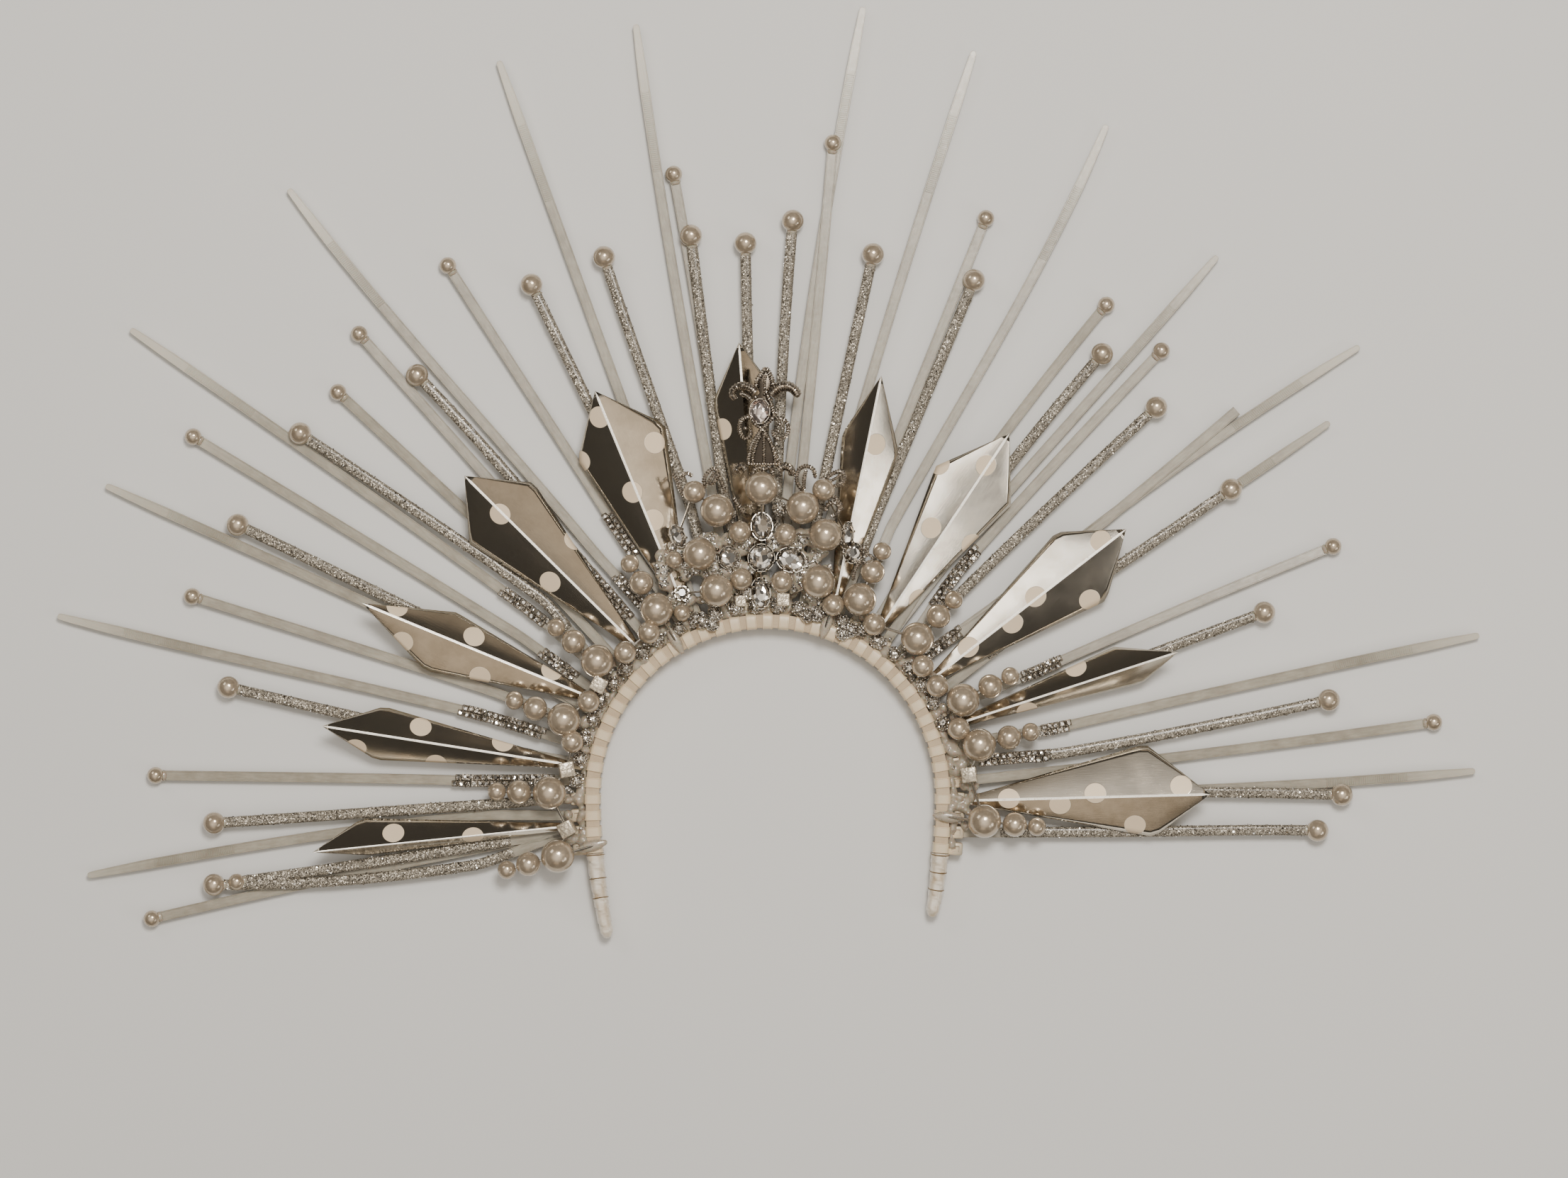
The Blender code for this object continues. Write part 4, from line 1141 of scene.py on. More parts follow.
def silver_cup(width, length, height):
    """An open oval cup under a stone, with claws over its girdle."""
    cup = bmesh.new()
    bmesh.ops.create_cone(cup, cap_ends=True, segments=20, radius1=CUP_FOOT, radius2=CUP_RIM, depth=1.0)
    depth = height * CUP_SHARE
    moved(cup, Matrix.Translation((0, 0, -depth / 2)) @ Matrix.Diagonal((length, width, depth, 1)))
    top = max(cup.faces, key=lambda face: face.calc_center_median().z)
    bmesh.ops.inset_region(cup, faces=[top], thickness=CUP_WALL)
    bmesh.ops.inset_region(cup, faces=[top], thickness=CUP_LIP, depth=-height * CUP_HOLLOW)
    parts = [cup]
    for claw in range(CLAWS):
        turn = 2 * math.pi * (claw + 0.5) / CLAWS
        u, v = CLAW_FIT * math.cos(turn), CLAW_FIT * math.sin(turn)
        place = Matrix.Translation((length / 2 * u, width / 2 * v, height * CLAW_LEVEL))
        tilted = place @ Matrix.Rotation(turn, 4, "Z") @ Matrix.Rotation(-CLAW_TILT, 4, "Y")
        parts.append(block((*CLAW, height * CLAW_SHARE), CLAW_EDGE, tilted))
    return merge(parts)


def any_way():
    """A level direction drawn by chance."""
    return heading(draw.uniform(0, 360))


cut_crystal = make_stone_finish("cut_crystal", CRYSTAL, CRYSTAL_DEEP, 0.0027, 0.75)
places = {kind: [] for kind in WIDTHS}
stones = []
cups = []
cubes = []
line = []
draw = random.Random(26)
for kind, angle, share in CLUSTER:
    if kind in STONES:
        depth = STONE_HEIGHT
    else:
        depth = CUBE if kind == "cube" else CLUSTER_CUBES.get(kind) or WIDTHS[kind]
    radius = share * CLUSTER_REACH
    centre = polar(angle, radius, bank_level(radius) + depth / 2)
    line.append(centre)
    if kind in STONES:
        width, length, turn = STONES[kind]
        lean = UP + any_way() * draw.uniform(*STONE_LEAN)
        place = stand(centre, heading(angle + turn), lean)
        stones.append(moved(cut_stone(width * STONE_FIT, length * STONE_FIT, STONE_HEIGHT, 10), place))
        cups.append(moved(silver_cup(width, length, STONE_HEIGHT), place))
    elif kind in CLUSTER_CUBES:
        place = stand(centre, heading(angle))
        cubes.append(turned_cube(CLUSTER_CUBES[kind], CLUSTER_CUBE_EDGE, place, *CLUSTER_CUBE_TURNS))
    else:
        places[kind].append(stand(centre, heading(angle + draw.uniform(*PEARL_TURNS))))
pearls = [repeated(bead(WIDTHS[kind], 32, 20), spots) for kind, spots in places.items()]
wires = []
for near, far in zip(line, line[1:]):
    wires.append(rod([near, near.lerp(far, 0.5) - UP * CLUSTER_SAG, far], CLUSTER_WIRE))
looks = {pearl: pearls, cut_crystal: stones, bright_silver: cups, foil_cube: cubes, strip_silver: wires}
piece("cluster_beads", looks, ["centre_cluster"], 16)

# The edge trim: small balls set all over with tiny stones, glued between the heads of the ties and the beads,
# with loose stones and clear hot glue filling what is left between them.
BALL = 0.0064
BALL_RADIUS = 0.0886
BALL_STEP = 6.4
BALL_STEP_DRIFT = 0.7
BALL_ROWS = 7
BALL_DRIFT = (-0.0008, 0.0012)
BALL_LIFT = (-0.0006, 0.0012)
BALL_LEAN = 0.6
PLACED_LEAN = 0.4
GRAIN = 0.0013
GRAIN_ROOM = 1.08
GRAIN_HEIGHT = 0.75
CHIP = 0.0020
CHIP_HEIGHT = 0.0016
CHIP_BESIDE = (1.6, BALL_STEP - 1.0)
CHIP_DRIFT = (-0.0028, 0.0050)
CHIP_LIFT = (0.0004, 0.0036)
MOST_LEAN = 0.7
DROP_RADII = (0.0858, 0.0965)
DROP_LIFT = (-0.0008, 0.0022)
DROP_SIZES = (0.0018, 0.0036)
TRIM_ENDS = (-9.0, 189.0)
BALL_ENDS = (16.0, 177.0)
CHIPS_BY_BALL = 5
DROPS_BY_BALL = 3
CHIPS_BY_GAP = 1
DROPS_BY_GAP = 6
BALL_PIXELS = ((1100, 718), (991, 877), (1005, 880), (1139, 868), (1153, 867), (1189, 893), (1201, 889), (1028, 725))
DROP_WAVES = 4
DROP_WAVE = 3
DROP_SWELL = 0.07
BANK_DROPS = 84
BANK_ENDS = (74.0, 116.0)
BANK_RADII = (0.0935, 0.1235)
BANK_SINK = 0.0002
BANK_DROP_SIZES = ((0.0028, 0.0042), (0.0028, 0.0042), (0.0026, 0.0032))
CHIPS_ON_A_DROP = 5
CHIP_SPREAD = 0.0030
CHIP_SLOPE = 0.3
SMEAR_START = 0.0768
SMEAR_LENGTH = 0.0150
SMEAR_HALF = 0.0028
SMEAR_RISE = 0.0014
SMEAR_END = 0.1
SMEAR_STEPS = 12
SEAM_STEPS = 260
SEAM_OUT = 0.0008
SEAM_UP = 0.0012
SEAM_HALF = 0.0021
SEAM_RISE = 0.0032
BED_GAP = 0.0007
BED_RISE = 0.0001
BED_DEPTH = 0.0008
BED_EDGE = 0.4
BED_SWELL = 0.3
GLUE_GRAIN = 0.00065

# The waves of the glue's seam along the band: how far each goes, and its radians a step. Two swell it, as a share
# of its size, and the third moves it to the side.
LONG_WAVE = (0.22, 0.61)
SHORT_WAVE = (0.16, 1.37)
SIDE_WAVE = (0.0003, 0.83)


def pave_ball(width, chip):
    """A round core, and the tiny stones that cover it row by row."""
    core = bmesh.new()
    bmesh.ops.create_icosphere(core, subdivisions=2, radius=width / 2)
    places = []
    for level in range(BALL_ROWS):
        lift = math.pi * (level + 0.5) / BALL_ROWS - math.pi / 2
        across = max(1, int(math.pi * width * math.cos(lift) / (chip * GRAIN_ROOM)))
        for step in range(across):
            turn = 2 * math.pi * (step + level * 0.5) / across
            along = Vector((-math.sin(turn), math.cos(turn), 0))
            facing = Vector((math.cos(turn) * math.cos(lift), math.sin(turn) * math.cos(lift), math.sin(lift)))
            places.append(stand(facing * width / 2, along, facing))
    return core, repeated(cut_stone(chip, chip, chip * GRAIN_HEIGHT, 6), places)


def lump(centre, sizes):
    """An irregular drop of glue that has set."""
    drop = bmesh.new()
    bmesh.ops.create_icosphere(drop, subdivisions=2, radius=1.0)
    waves = []
    for _ in range(DROP_WAVES):
        waves.append((Vector([draw.uniform(-DROP_WAVE, DROP_WAVE) for _ in range(3)]), draw.uniform(0, 6)))
    for corner in drop.verts:
        corner.co *= 1 + DROP_SWELL * sum(math.sin(corner.co.dot(way) + start) for way, start in waves)
    turn = Matrix.Rotation(draw.uniform(0, 6), 4, "Z")
    return moved(drop, Matrix.Translation(centre) @ turn @ Matrix.Diagonal((*sizes, 1)))


draw = random.Random(57)
balls = []
chips = []
drops = []
angle = TRIM_ENDS[0]
while angle < TRIM_ENDS[1]:
    radius = BALL_RADIUS + draw.uniform(*BALL_DRIFT)
    centre = polar(angle, radius, HEAD_FRONT + BALL / 2 + draw.uniform(*BALL_LIFT))
    jewelled = BALL_ENDS[0] < angle < BALL_ENDS[1]
    if jewelled:
        balls.append(stand(centre, any_way(), UP + any_way() * BALL_LEAN))
    for _ in range(CHIPS_BY_BALL if jewelled else CHIPS_BY_GAP):
        beside = angle + draw.uniform(*CHIP_BESIDE)
        spot = polar(beside, BALL_RADIUS + draw.uniform(*CHIP_DRIFT), HEAD_FRONT)
        lean = UP + any_way() * draw.uniform(0, MOST_LEAN)
        chips.append(stand(spot + UP * draw.uniform(*CHIP_LIFT), any_way(), lean))
    for _ in range(DROPS_BY_BALL if jewelled else DROPS_BY_GAP):
        spot = polar(angle + draw.uniform(0, BALL_STEP), draw.uniform(*DROP_RADII), HEAD_FRONT)
        spot.z += draw.uniform(*DROP_LIFT)
        drops.append(lump(spot, [draw.uniform(*DROP_SIZES) for _ in range(3)]))
    angle += BALL_STEP + draw.uniform(-BALL_STEP_DRIFT, BALL_STEP_DRIFT)
for row in GARLANDS.values():
    for _, angle in (row[0], row[-1]):
        smear = []
        for step in range(SMEAR_STEPS + 1):
            share = step / SMEAR_STEPS
            full = math.sin(math.pi * (SMEAR_END + (1 - 2 * SMEAR_END) * share))
            spot = polar(angle, SMEAR_START + SMEAR_LENGTH * share, LOOP_DEPTH + 2 * CLEARANCE)
            smear.append((spot, heading(angle + 90) * SMEAR_HALF * full, UP * SMEAR_RISE * full))
        drops.append(sweep(round_outline(16), smear))
for _ in range(BANK_DROPS):
    angle, radius = draw.uniform(*BANK_ENDS), draw.uniform(*BANK_RADII)
    spot = polar(angle, radius, bank_level(radius) - BANK_SINK)
    drops.append(lump(spot, [draw.uniform(*ends) for ends in BANK_DROP_SIZES]))
    for _ in range(CHIPS_ON_A_DROP):
        out = any_way()
        away = draw.uniform(0, CHIP_SPREAD)
        lean = UP + out * draw.uniform(0, MOST_LEAN)
        chips.append(stand(spot + out * away + UP * (CHIP_SPREAD - CHIP_SLOPE * away), any_way(), lean))
for pixel in BALL_PIXELS:
    away = (photo_point(pixel) - ARCH_CENTRE).length
    centre = photo_point(pixel, max(HEAD_FRONT, bank_level(away)) + BALL / 2)
    balls.append(stand(centre, any_way(), UP + heading(away * 1e4) * PLACED_LEAN))
core, grains = (repeated(shape, balls) for shape in pave_ball(BALL, GRAIN))
loose = repeated(cut_stone(CHIP, CHIP, CHIP_HEIGHT), chips)
piece("edge_trim", {bright_silver: [core], crystal: [grains, loose]}, crease=12)

seam = []
bed = []
for step in range(SEAM_STEPS + 1):
    centre, outward = band_frame(furthest * (1 - 2 * step / SEAM_STEPS))
    swell = 1 + LONG_WAVE[0] * math.sin(step * LONG_WAVE[1]) + SHORT_WAVE[0] * math.sin(step * SHORT_WAVE[1] + 1)
    out = LOOP_SPAN / 2 + SEAM_OUT + SIDE_WAVE[0] * math.sin(step * SIDE_WAVE[1])
    seam.append((centre + outward * out + UP * SEAM_UP, outward * SEAM_HALF * swell, UP * SEAM_RISE * swell))
    padded = UP * BED_DEPTH * (1 - BED_SWELL + BED_SWELL * swell)
    bed.append((centre + UP * (BAND_DEPTH / 2 + BED_RISE), outward * (LOOP_SPAN / 2 - BED_GAP), padded))
drops.append(sweep(round_outline(16), seam))
hot_glue = piece("hot_glue", {glue: drops}, crease=60)
flow = hot_glue.modifiers.new("run_together", "REMESH")
flow.mode = "VOXEL"
flow.voxel_size = GLUE_GRAIN
flow.use_smooth_shade = True
settle = hot_glue.modifiers.new("settled", "SMOOTH")
settle.factor = 0.6
settle.iterations = 5
piece("band_padding", {ribbon: [sweep(soft_corners(BED_EDGE), bed)]}, crease=60)

# The ornament: a fleur-de-lis cast in old silver, built up from twisted ropes and granules round a pink-tinged
# cut stone, with a bell of ropes at its foot that sits over the top pearl. It is glued to a fin's crease.
ORNAMENT_FOOT = 0.1505
ORNAMENT_LENGTH = 0.0490
GLUED_SHARE = 0.62
GLUED_RISE = 0.0013
ROPE = 0.0022
ROPE_LAY = 0.0022
ROPE_LAY_STEPS = 7
ROPE_END = 0.55
ROPE_TAPER = 6
HORN_TIP = 0.05
RING_PITCH = 0.0012
RING_SWELL = 0.11
HORN_STEP = 0.00025
PLATE_THICKNESS = 0.0014
PLATE_EDGE = 0.0003
GRANULE = 0.00075
GRANULES_IN_ROW = 12
RING_GRANULE_SWELL = 1.3
STONE_FACING = Vector((-0.14, 0.12, 1))
SETTING = (0.0094, 0.0114, 0.0046)
ROSE = (0.0090, 0.0110, 0.0050)
FILIGREE_RISE = 0.0042
OLD_SILVER = (0.56, 0.50, 0.43, 1)
OLD_SILVER_DARK = (0.065, 0.055, 0.042, 1)
TARNISH = (0.055, 0.046, 0.038, 1)
ROSE_GLASS = (0.88, 0.78, 0.74, 1)
ROSE_DEEP = (0.30, 0.20, 0.17, 1)

# How far these stand up over the ornament's level, in millimetres
PLATE_RISE = -0.9
GRANULE_RISE = 1.4
RING_GRANULE_RISE = 1.2
STONE_RISE = 2.4

ORNAMENT_WAY = ORNAMENT_FOOT + GLUED_SHARE * ORNAMENT_LENGTH - FIN_FOOT_RADIUS
ORNAMENT_LEVEL = FIN_FOOT + RIDGE_SLOPE * ORNAMENT_WAY + CAD_CARD + CLEARANCE + GLUED_RISE

# The photograph's pixels along each rope, with its width as a share of ROPE and how far it stands up in millimetres
ORNAMENT_ROPES = (
    (((1081, 521), (1073, 531), (1068, 540), (1067, 549)), 1.15, 1.8),
    (((1081, 521), (1087, 531), (1090, 540), (1090, 549)), 1.15, 1.4),
    (((1081, 531), (1079, 541), (1079, 553)), 0.7, 1.7),
    (((1079, 551), (1084, 562), (1089, 575), (1092, 588)), 1.0, 2.6),
    (((1098, 580), (1088, 594), (1076, 606), (1069, 616), (1061, 628), (1058, 640), (1056, 655)), 1.0, 2.4),
    (((1060, 590), (1066, 600), (1077, 608), (1083, 618), (1089, 630), (1094, 642), (1099, 655)), 1.0, 1.9),
    (((1064, 594), (1056, 590), (1047, 594), (1044, 603), (1045, 613), (1051, 620),
      (1058, 617), (1060, 609)), 1.1, 2.4),
    (((1092, 594), (1101, 592), (1109, 597), (1112, 606), (1109, 616),
      (1101, 621), (1093, 617), (1090, 608)), 1.1, 1.3),
    (((1074, 614), (1067, 628), (1063, 642), (1062, 656)), 0.8, 1.5),
    (((1078, 614), (1078, 628), (1078, 642), (1078, 656)), 0.8, 1.7),
    (((1082, 614), (1088, 628), (1092, 642), (1094, 656)), 0.8, 1.5),
    (((1062, 678), (1063, 668), (1068, 661), (1077, 663), (1086, 661), (1090, 668), (1091, 678)), 1.25, 1.0),
)

# The pixels along each horn, its width at both ends and how far it stands up, all in millimetres
ORNAMENT_HORNS = (
    (((1066, 556), (1058, 549), (1049, 546), (1040, 548), (1034, 554), (1035, 562), (1041, 563)), 4.2, 2.8, 2.3),
    (((1061, 567), (1056, 562), (1049, 558), (1043, 558)), 2.8, 1.8, 2.3),
    (((1087, 560), (1094, 552), (1104, 547), (1114, 548), (1122, 554), (1126, 563)), 6.0, 4.0, 1.4),
    (((1098, 664), (1105, 659), (1113, 661), (1117, 667), (1112, 671)), 4.4, 3.2, 0.9),
    (((1053, 664), (1047, 659), (1041, 662), (1038, 669)), 3.8, 2.8, 1.9),
)
GRANULE_ROW = ((1057, 656), (1099, 656))
RING_GRANULES = ((1100, 600), (1104, 606), (1098, 610), (1052, 606), (1066, 562), (1088, 566), (1079, 558))
ORNAMENT_STONE = (1072, 582)
PLATE_OUTLINE = (
    (1081, 521), (1089, 538), (1090, 546), (1083, 556),
    (1089, 563), (1090, 590), (1082, 608), (1096, 640), (1100, 656),
    (1056, 656), (1061, 640), (1073, 608), (1060, 590), (1060, 570), (1072, 556), (1067, 546), (1070, 536),
)
FILIGREES = (
    (((996, 690), (994, 678), (999, 668), (1008, 662), (1013, 667), (1010, 677), (1003, 686)), 1.1),
    (((998, 686), (1003, 676), (1009, 667)), 0.8),
    (((1013, 668), (1018, 680), (1022, 690), (1024, 698)), 1.1),
    (((951, 668), (957, 680), (961, 692), (967, 702)), 1.1),
    (((960, 676), (969, 669), (978, 673)), 1.0),
    (((1133, 694), (1125, 683), (1124, 671), (1129, 662), (1138, 659), (1147, 664), (1150, 676)), 1.1),
    (((1134, 692), (1134, 678), (1137, 664)), 0.9),
    (((1162, 682), (1170, 672), (1180, 667), (1188, 667), (1190, 677), (1184, 684), (1174, 688)), 1.1),
    (((1166, 682), (1177, 677), (1187, 670)), 0.8),
    (((1171, 699), (1179, 704), (1185, 712), (1187, 721)), 1.1),
    (((1163, 722), (1168, 712), (1177, 710), (1183, 717), (1180, 726), (1172, 728)), 1.1),
    (((1035, 703), (1042, 713), (1050, 725)), 1.3),
    (((1215, 788), (1207, 781), (1201, 786), (1206, 793), (1214, 790)), 0.8),
    (((1215, 788), (1210, 778), (1217, 773), (1223, 779), (1217, 787)), 0.8),
    (((1216, 788), (1225, 783), (1231, 790), (1224, 796), (1217, 791)), 0.8),
    (((1215, 790), (1209, 798), (1204, 808), (1203, 819)), 1.0),
)


def on_ornament(pixel, rise):
    """The point of the ornament at a pixel of the photograph, by how far it stands up in millimetres."""
    return photo_point(pixel, ORNAMENT_LEVEL + rise / 1000)


def smooth_line(points, step_length, least):
    """Points on the smooth curve through the given ones, a step apart, but at least so many."""
    length = sum((far - near).length for near, far in zip(points, points[1:]))
    steps = max(least, int(length / step_length))
    found = []
    for step in range(steps + 1):
        place = step / steps * (len(points) - 1)
        first = min(int(place), len(points) - 2)
        t = place - first
        a, b, c, d = (points[max(0, min(len(points) - 1, first + way))] for way in (-1, 0, 1, 2))
        bent = (2 * a - 5 * b + 4 * c - d) * t**2 + (3 * b - a - 3 * c + d) * t**3
        found.append(0.5 * (2 * b + (c - a) * t + bent))
    return found, length


def rope(points, width):
    """Two wires twisted together along a smooth line, thinner at both ends."""
    line, _ = smooth_line(points, ROPE_LAY / ROPE_LAY_STEPS, 12)
    sections = []
    for step, gone, point, run, across in runs(line):
        turn = Matrix.Rotation(2 * math.pi * gone / ROPE_LAY, 3, run)
        half = width / 2 * min(1.0, ROPE_END + ROPE_TAPER * min(step, len(line) - 1 - step) / len(line))
        sections.append((point, turn @ across * half, turn @ run.cross(across) * half))
    lobes = [(0.44 + 0.56 * math.cos(t), 0.62 * math.sin(t)) for t in (-2.2, -1.3, -0.4, 0.4, 1.3, 2.2)]
    return sweep(lobes + [(-u, -v) for u, v in lobes], sections)


def ribbed_horn(points, start, end):
    """A tapering horn with rings cast round it and a rounded end."""
    line, length = smooth_line(points, HORN_STEP, 16)
    sections = []
    for step, gone, point, run, across in runs(line):
        blunt = math.sqrt(max(HORN_TIP, 1 - max(0.0, (gone - length + end / 2) / (end / 2)) ** 2))
        width = start + (end - start) * step / (len(line) - 1)
        half = width / 2 * (1 + RING_SWELL * math.sin(2 * math.pi * gone / RING_PITCH)) * blunt
        sections.append((point, across * half, run.cross(across) * half))
    return sweep(round_outline(12), sections)


old_silver = make_silver("old_silver", OLD_SILVER, OLD_SILVER_DARK, 0.0022)
rose_stone = make_stone_finish("rose_crystal", ROSE_GLASS, ROSE_DEEP, 0.0026, 0.7)
tarnished = make_silver("tarnished_silver", TARNISH, OLD_SILVER_DARK, 0.0022)
ground = bmesh.new()
face = ground.faces.new([ground.verts.new(on_ornament(pixel, PLATE_RISE)) for pixel in PLATE_OUTLINE])
if face.normal.z < 0:
    face.normal_flip()
upper = bmesh.ops.extrude_face_region(ground, geom=[face], use_keep_orig=True)["geom"]
upper = [item for item in upper if isinstance(item, bmesh.types.BMVert)]
bmesh.ops.translate(ground, vec=(0, 0, PLATE_THICKNESS), verts=upper)
rounded(ground, [edge for edge in ground.edges if edge.is_manifold and edge.calc_face_angle() > 1.2], PLATE_EDGE)

castings = []
for pixels, width, rise in ORNAMENT_ROPES:
    castings.append(rope([on_ornament(pixel, rise) for pixel in pixels], ROPE * width))
for pixels, start, end, rise in ORNAMENT_HORNS:
    castings.append(ribbed_horn([on_ornament(pixel, rise) for pixel in pixels], start / 1000, end / 1000))
granule = bmesh.new()
bmesh.ops.create_icosphere(granule, subdivisions=2, radius=GRANULE)
first, last = (on_ornament(pixel, GRANULE_RISE) for pixel in GRANULE_ROW)
row = [Matrix.Translation(first.lerp(last, step / (GRANULES_IN_ROW - 1))) for step in range(GRANULES_IN_ROW)]
for pixel in RING_GRANULES:
    row.append(Matrix.Translation(on_ornament(pixel, RING_GRANULE_RISE)) @ Matrix.Scale(RING_GRANULE_SWELL, 4))
stone_place = stand(on_ornament(ORNAMENT_STONE, STONE_RISE), heading(90), STONE_FACING)
castings += [repeated(granule, row), moved(silver_cup(*SETTING), stone_place)]
looks = {old_silver: castings, rose_stone: [moved(cut_stone(*ROSE, 10), stone_place)], tarnished: [ground]}
piece("fleur_de_lis", looks, ["fleur_ornament"], 30)

leaves = []
for pixels, width in FILIGREES:
    points = []
    for pixel in pixels:
        level = bank_level((photo_point(pixel) - ARCH_CENTRE).length)
        points.append(photo_point(pixel, level + FILIGREE_RISE))
    leaves.append(rope(points, ROPE * width))
piece("filigree_leaves", {old_silver: leaves}, crease=30)

# The leg ends: below the last loop each leg is bound with overlapping turns of cream ribbon, then with clear
# film, and tied at intervals with thin gold-brown thread.
WRAP_WIDTH = (0.0082, 0.0058)
WRAP_DEPTH = (0.0124, 0.0086)
WRAP_TURN = 0.0072
WRAP_STEP = 0.00045
WRAP_PAST_END = 0.0006
WRAP_ROUND = 0.003
WRAP_EDGE = 0.75
WRAP_SLANT = 0.0012
WRAP_SKEW = 0.9
WRAP_END = 0.35
WRAP_FIT = 0.91
WRAP_LAP = 0.13
WRAP_LAP_CURVE = 0.6
FILM_TONE = (0.80, 0.74, 0.64, 1)
THREAD = 0.00055
THREAD_SLANT = 0.0004
THREAD_FIT = 1.03
THREAD_STEPS = 28
SQUARENESS = 2.6
THREAD_GOLD = (0.30, 0.20, 0.09, 1)
THREAD_DARK = (0.16, 0.10, 0.05, 1)
THREAD_PLACES = {"left": (0.03, 0.30, 0.53), "right": (0.03, 0.29, 0.565)}

# Cream ribbon seen through stretched clear film: glossy, with fine creases across it
film, shader, place = new_finish("clear_film", Coat_Weight=1.0, Coat_Roughness=0.06, Coat_IOR=1.8, Roughness=0.45)
cloud = noise(place, 0.006, 3.0, 0.6)
wear(shader, Base_Color=blend(spread(cloud, 0.3, 0.7), RIBBON_SHADE, FILM_TONE))
raise_up(shader, noise(stretched(on_surface(shader), (1, 0.12, 1), 0.5), 0.0009, 3.0, 0.65), 0.0003, 0.6)

thread, shader, place = new_finish("gold_thread", Roughness=0.4, Metallic=0.5)
wear(shader, Base_Color=blend(noise(place, 0.0004), THREAD_DARK, THREAD_GOLD))

for hand, side, leg in (("left", 1, LEFT_LEG), ("right", -1, RIGHT_LEG)):
    start = QUARTER + LOOPED_LEG + TIE_WIDTH / 2 + CLEARANCE
    length = QUARTER + leg + WRAP_PAST_END - start
    steps = int(length / WRAP_STEP)
    sections = []
    for step in range(steps + 1):
        share = step / steps
        centre, outward = band_frame(side * (start + length * share))
        width, depth = (near + (far - near) * share for near, far in (WRAP_WIDTH, WRAP_DEPTH))
        end = min(1.0, WRAP_END + (1 - WRAP_END) * math.sqrt(min(1.0, (1 - share) * length / WRAP_ROUND)))
        sections.append((centre, outward * width / 2 * end, UP * depth / 2 * end))
    wrap = sweep(soft_corners(WRAP_EDGE, 5), sections)
    for corner in wrap.verts:
        step, (centre, half, _) = min(enumerate(sections), key=lambda item: (item[1][0].xy - corner.co.xy).length)
        off = corner.co - centre
        slant = off.dot(half.normalized()) * WRAP_SKEW * side + math.copysign(WRAP_SLANT, off.z)
        turn = (step * WRAP_STEP + slant) / WRAP_TURN % 1
        corner.co = centre + off * (WRAP_FIT + WRAP_LAP * turn**WRAP_LAP_CURVE)
    threads = []
    for share in THREAD_PLACES[hand]:
        centre, half, rise = sections[int(share * steps)]
        tangent = half.cross(rise).normalized()
        ring = []
        for step in range(THREAD_STEPS):
            turn = 2 * math.pi * step / THREAD_STEPS
            u, v = math.cos(turn), math.sin(turn)
            facing = (half.normalized() * u / half.length + rise.normalized() * v / rise.length).normalized()
            squeeze = (abs(u) ** SQUARENESS + abs(v) ** SQUARENESS) ** (-1 / SQUARENESS)
            point = centre + (half * u + rise * v) * squeeze * THREAD_FIT + tangent * THREAD_SLANT * v
            ring.append((point, facing * THREAD / 2, tangent * THREAD / 2))
        threads.append(sweep(round_outline(6), ring, closed=True))
    piece(f"leg_wrap_{hand}", {film: [wrap], thread: threads}, crease=50)

# The floor, the lights and the camera. The camera looks straight down on the crown, as the photograph looks
# straight at its front.
PHOTO_SIZE = (2212, 1662)
CAMERA_HEIGHT = 2.0
SENSOR = 36.0
FLOOR_SIZE = 4.0
FLOOR_TONE = (0.74, 0.74, 0.73, 1)
FLOOR_SHADE = (0.70, 0.70, 0.69, 1)
WHITE = (1, 0.96, 0.9)
WARM = (1, 0.80, 0.58)
LIT_POINT = Vector((0, -0.05, 0))
SKY_LOW = (0.05, 0.045, 0.038, 1)
SKY_HIGH = (1.75, 1.62, 1.44, 1)

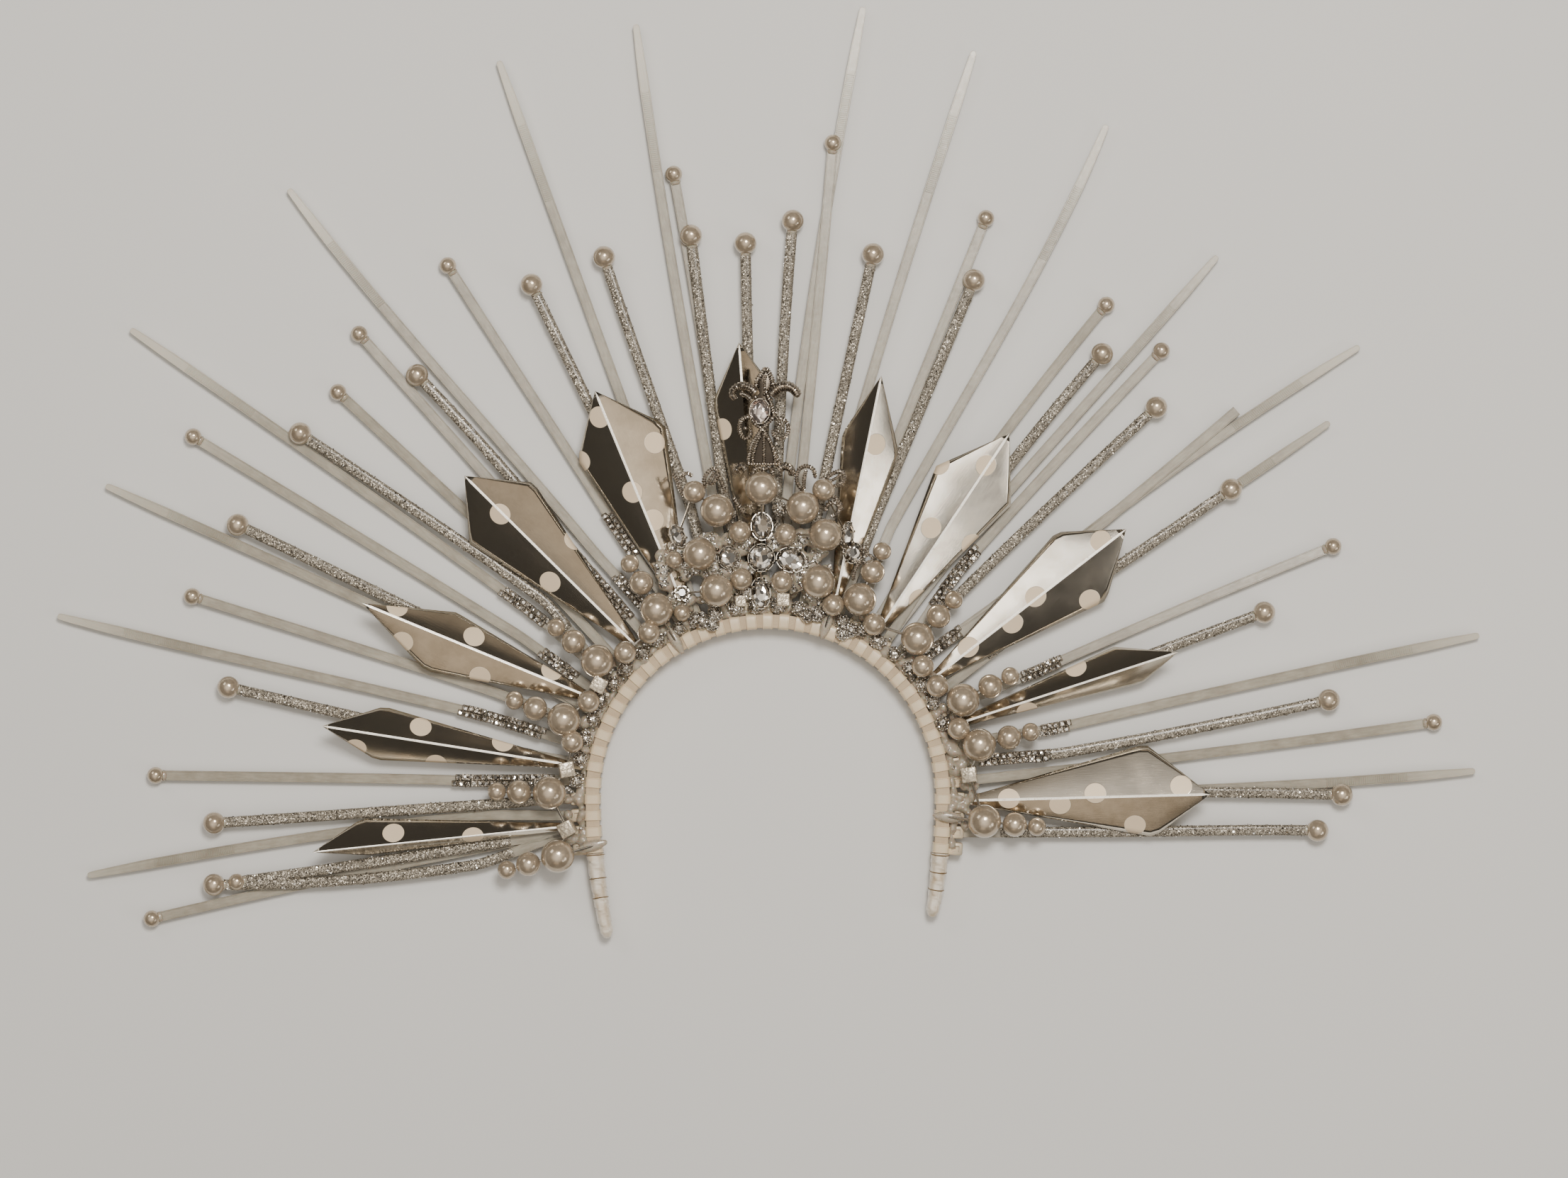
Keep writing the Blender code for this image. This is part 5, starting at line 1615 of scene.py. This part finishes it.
# The soft lights that face the crown: azimuth, elevation, distance, width, height, watts and tint
LIGHTS = {
    "key_light": (70, 70, 1.9, 0.46, 0.46, 27, WHITE),
    "left_panel": (141, 37, 2.0, 0.70, 0.50, 4.0, WHITE),
    "right_panel": (-24, 31, 2.0, 0.55, 0.45, 3.0, WHITE),
    "low_right_panel": (0, 15, 2.0, 0.45, 0.35, 0.30, WARM),
    "high_right_panel": (12, 48, 2.0, 0.50, 0.50, 0.48, WARM),
    "top_panel": (39, 39, 2.0, 0.50, 0.50, 0.36, WARM),
    "upper_panel": (70, 21, 2.0, 0.70, 0.40, 0.20, WARM),
    "foot_panel": (-42.5, 38, 2.0, 0.22, 0.40, 1.0, WHITE),
    "near_foot_panel": (-100, 40, 2.0, 0.95, 0.60, 0.95, WARM),
    "head_panel": (104, 49, 2.0, 0.45, 0.40, 0.08, WARM),
}


def put_in(name, data):
    """A new object in the scene."""
    made = bpy.data.objects.new(name, data)
    bpy.context.scene.collection.objects.link(made)
    return made


floor_finish, shader, place = new_finish("studio_floor", Roughness=0.7)
wear(shader, Base_Color=blend(noise(place, 0.25, 3.0), FLOOR_SHADE, FLOOR_TONE))
floor_shape = bmesh.new()
bmesh.ops.create_grid(floor_shape, x_segments=2, y_segments=2, size=FLOOR_SIZE)
floor_mesh = bpy.data.meshes.new("studio_floor")
floor_shape.to_mesh(floor_mesh)
floor_shape.free()
floor_mesh.materials.append(floor_finish)
put_in("studio_floor", floor_mesh)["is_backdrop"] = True

for name, (azimuth, elevation, far, width, height, watts, tint) in LIGHTS.items():
    lamp = bpy.data.lights.new(name, "AREA")
    lamp.shape = "RECTANGLE"
    lamp.size, lamp.size_y = width, height
    lamp.energy = watts
    lamp.color = tint
    holder = put_in(name, lamp)
    tilt = math.radians(elevation)
    holder.location = LIT_POINT + (heading(azimuth) * math.cos(tilt) + UP * math.sin(tilt)) * far
    holder.rotation_euler = (LIT_POINT - holder.location).to_track_quat("-Z", "Y").to_euler()

# Even studio light that is bright overhead and falls off towards the walls
world = bpy.data.worlds.new("studio")
world.use_nodes = True
sky = world.node_tree.nodes["Background"]
rise = add(sky, "SeparateXYZ", {0: add(sky, "TexCoord", {}).outputs["Generated"]}).outputs[2]
wear(sky, Color=blend(maths("POWER", spread(rise, 0.68, 1.0), 1.3), SKY_LOW, SKY_HIGH))
bpy.context.scene.world = world

camera_data = bpy.data.cameras.new("camera")
camera_data.sensor_width = SENSOR
camera_data.lens = SENSOR * (CAMERA_HEIGHT - BAND_LEVEL) / (PHOTO_SIZE[0] * PHOTO_PIXEL)
camera = put_in("camera", camera_data)
camera.location = photo_point((PHOTO_SIZE[0] / 2, PHOTO_SIZE[1] / 2), CAMERA_HEIGHT)
bpy.context.scene.camera = camera

sizes = {"cad": [list(corner) for corner in cad_box], "visual": [list(corner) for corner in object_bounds()]}
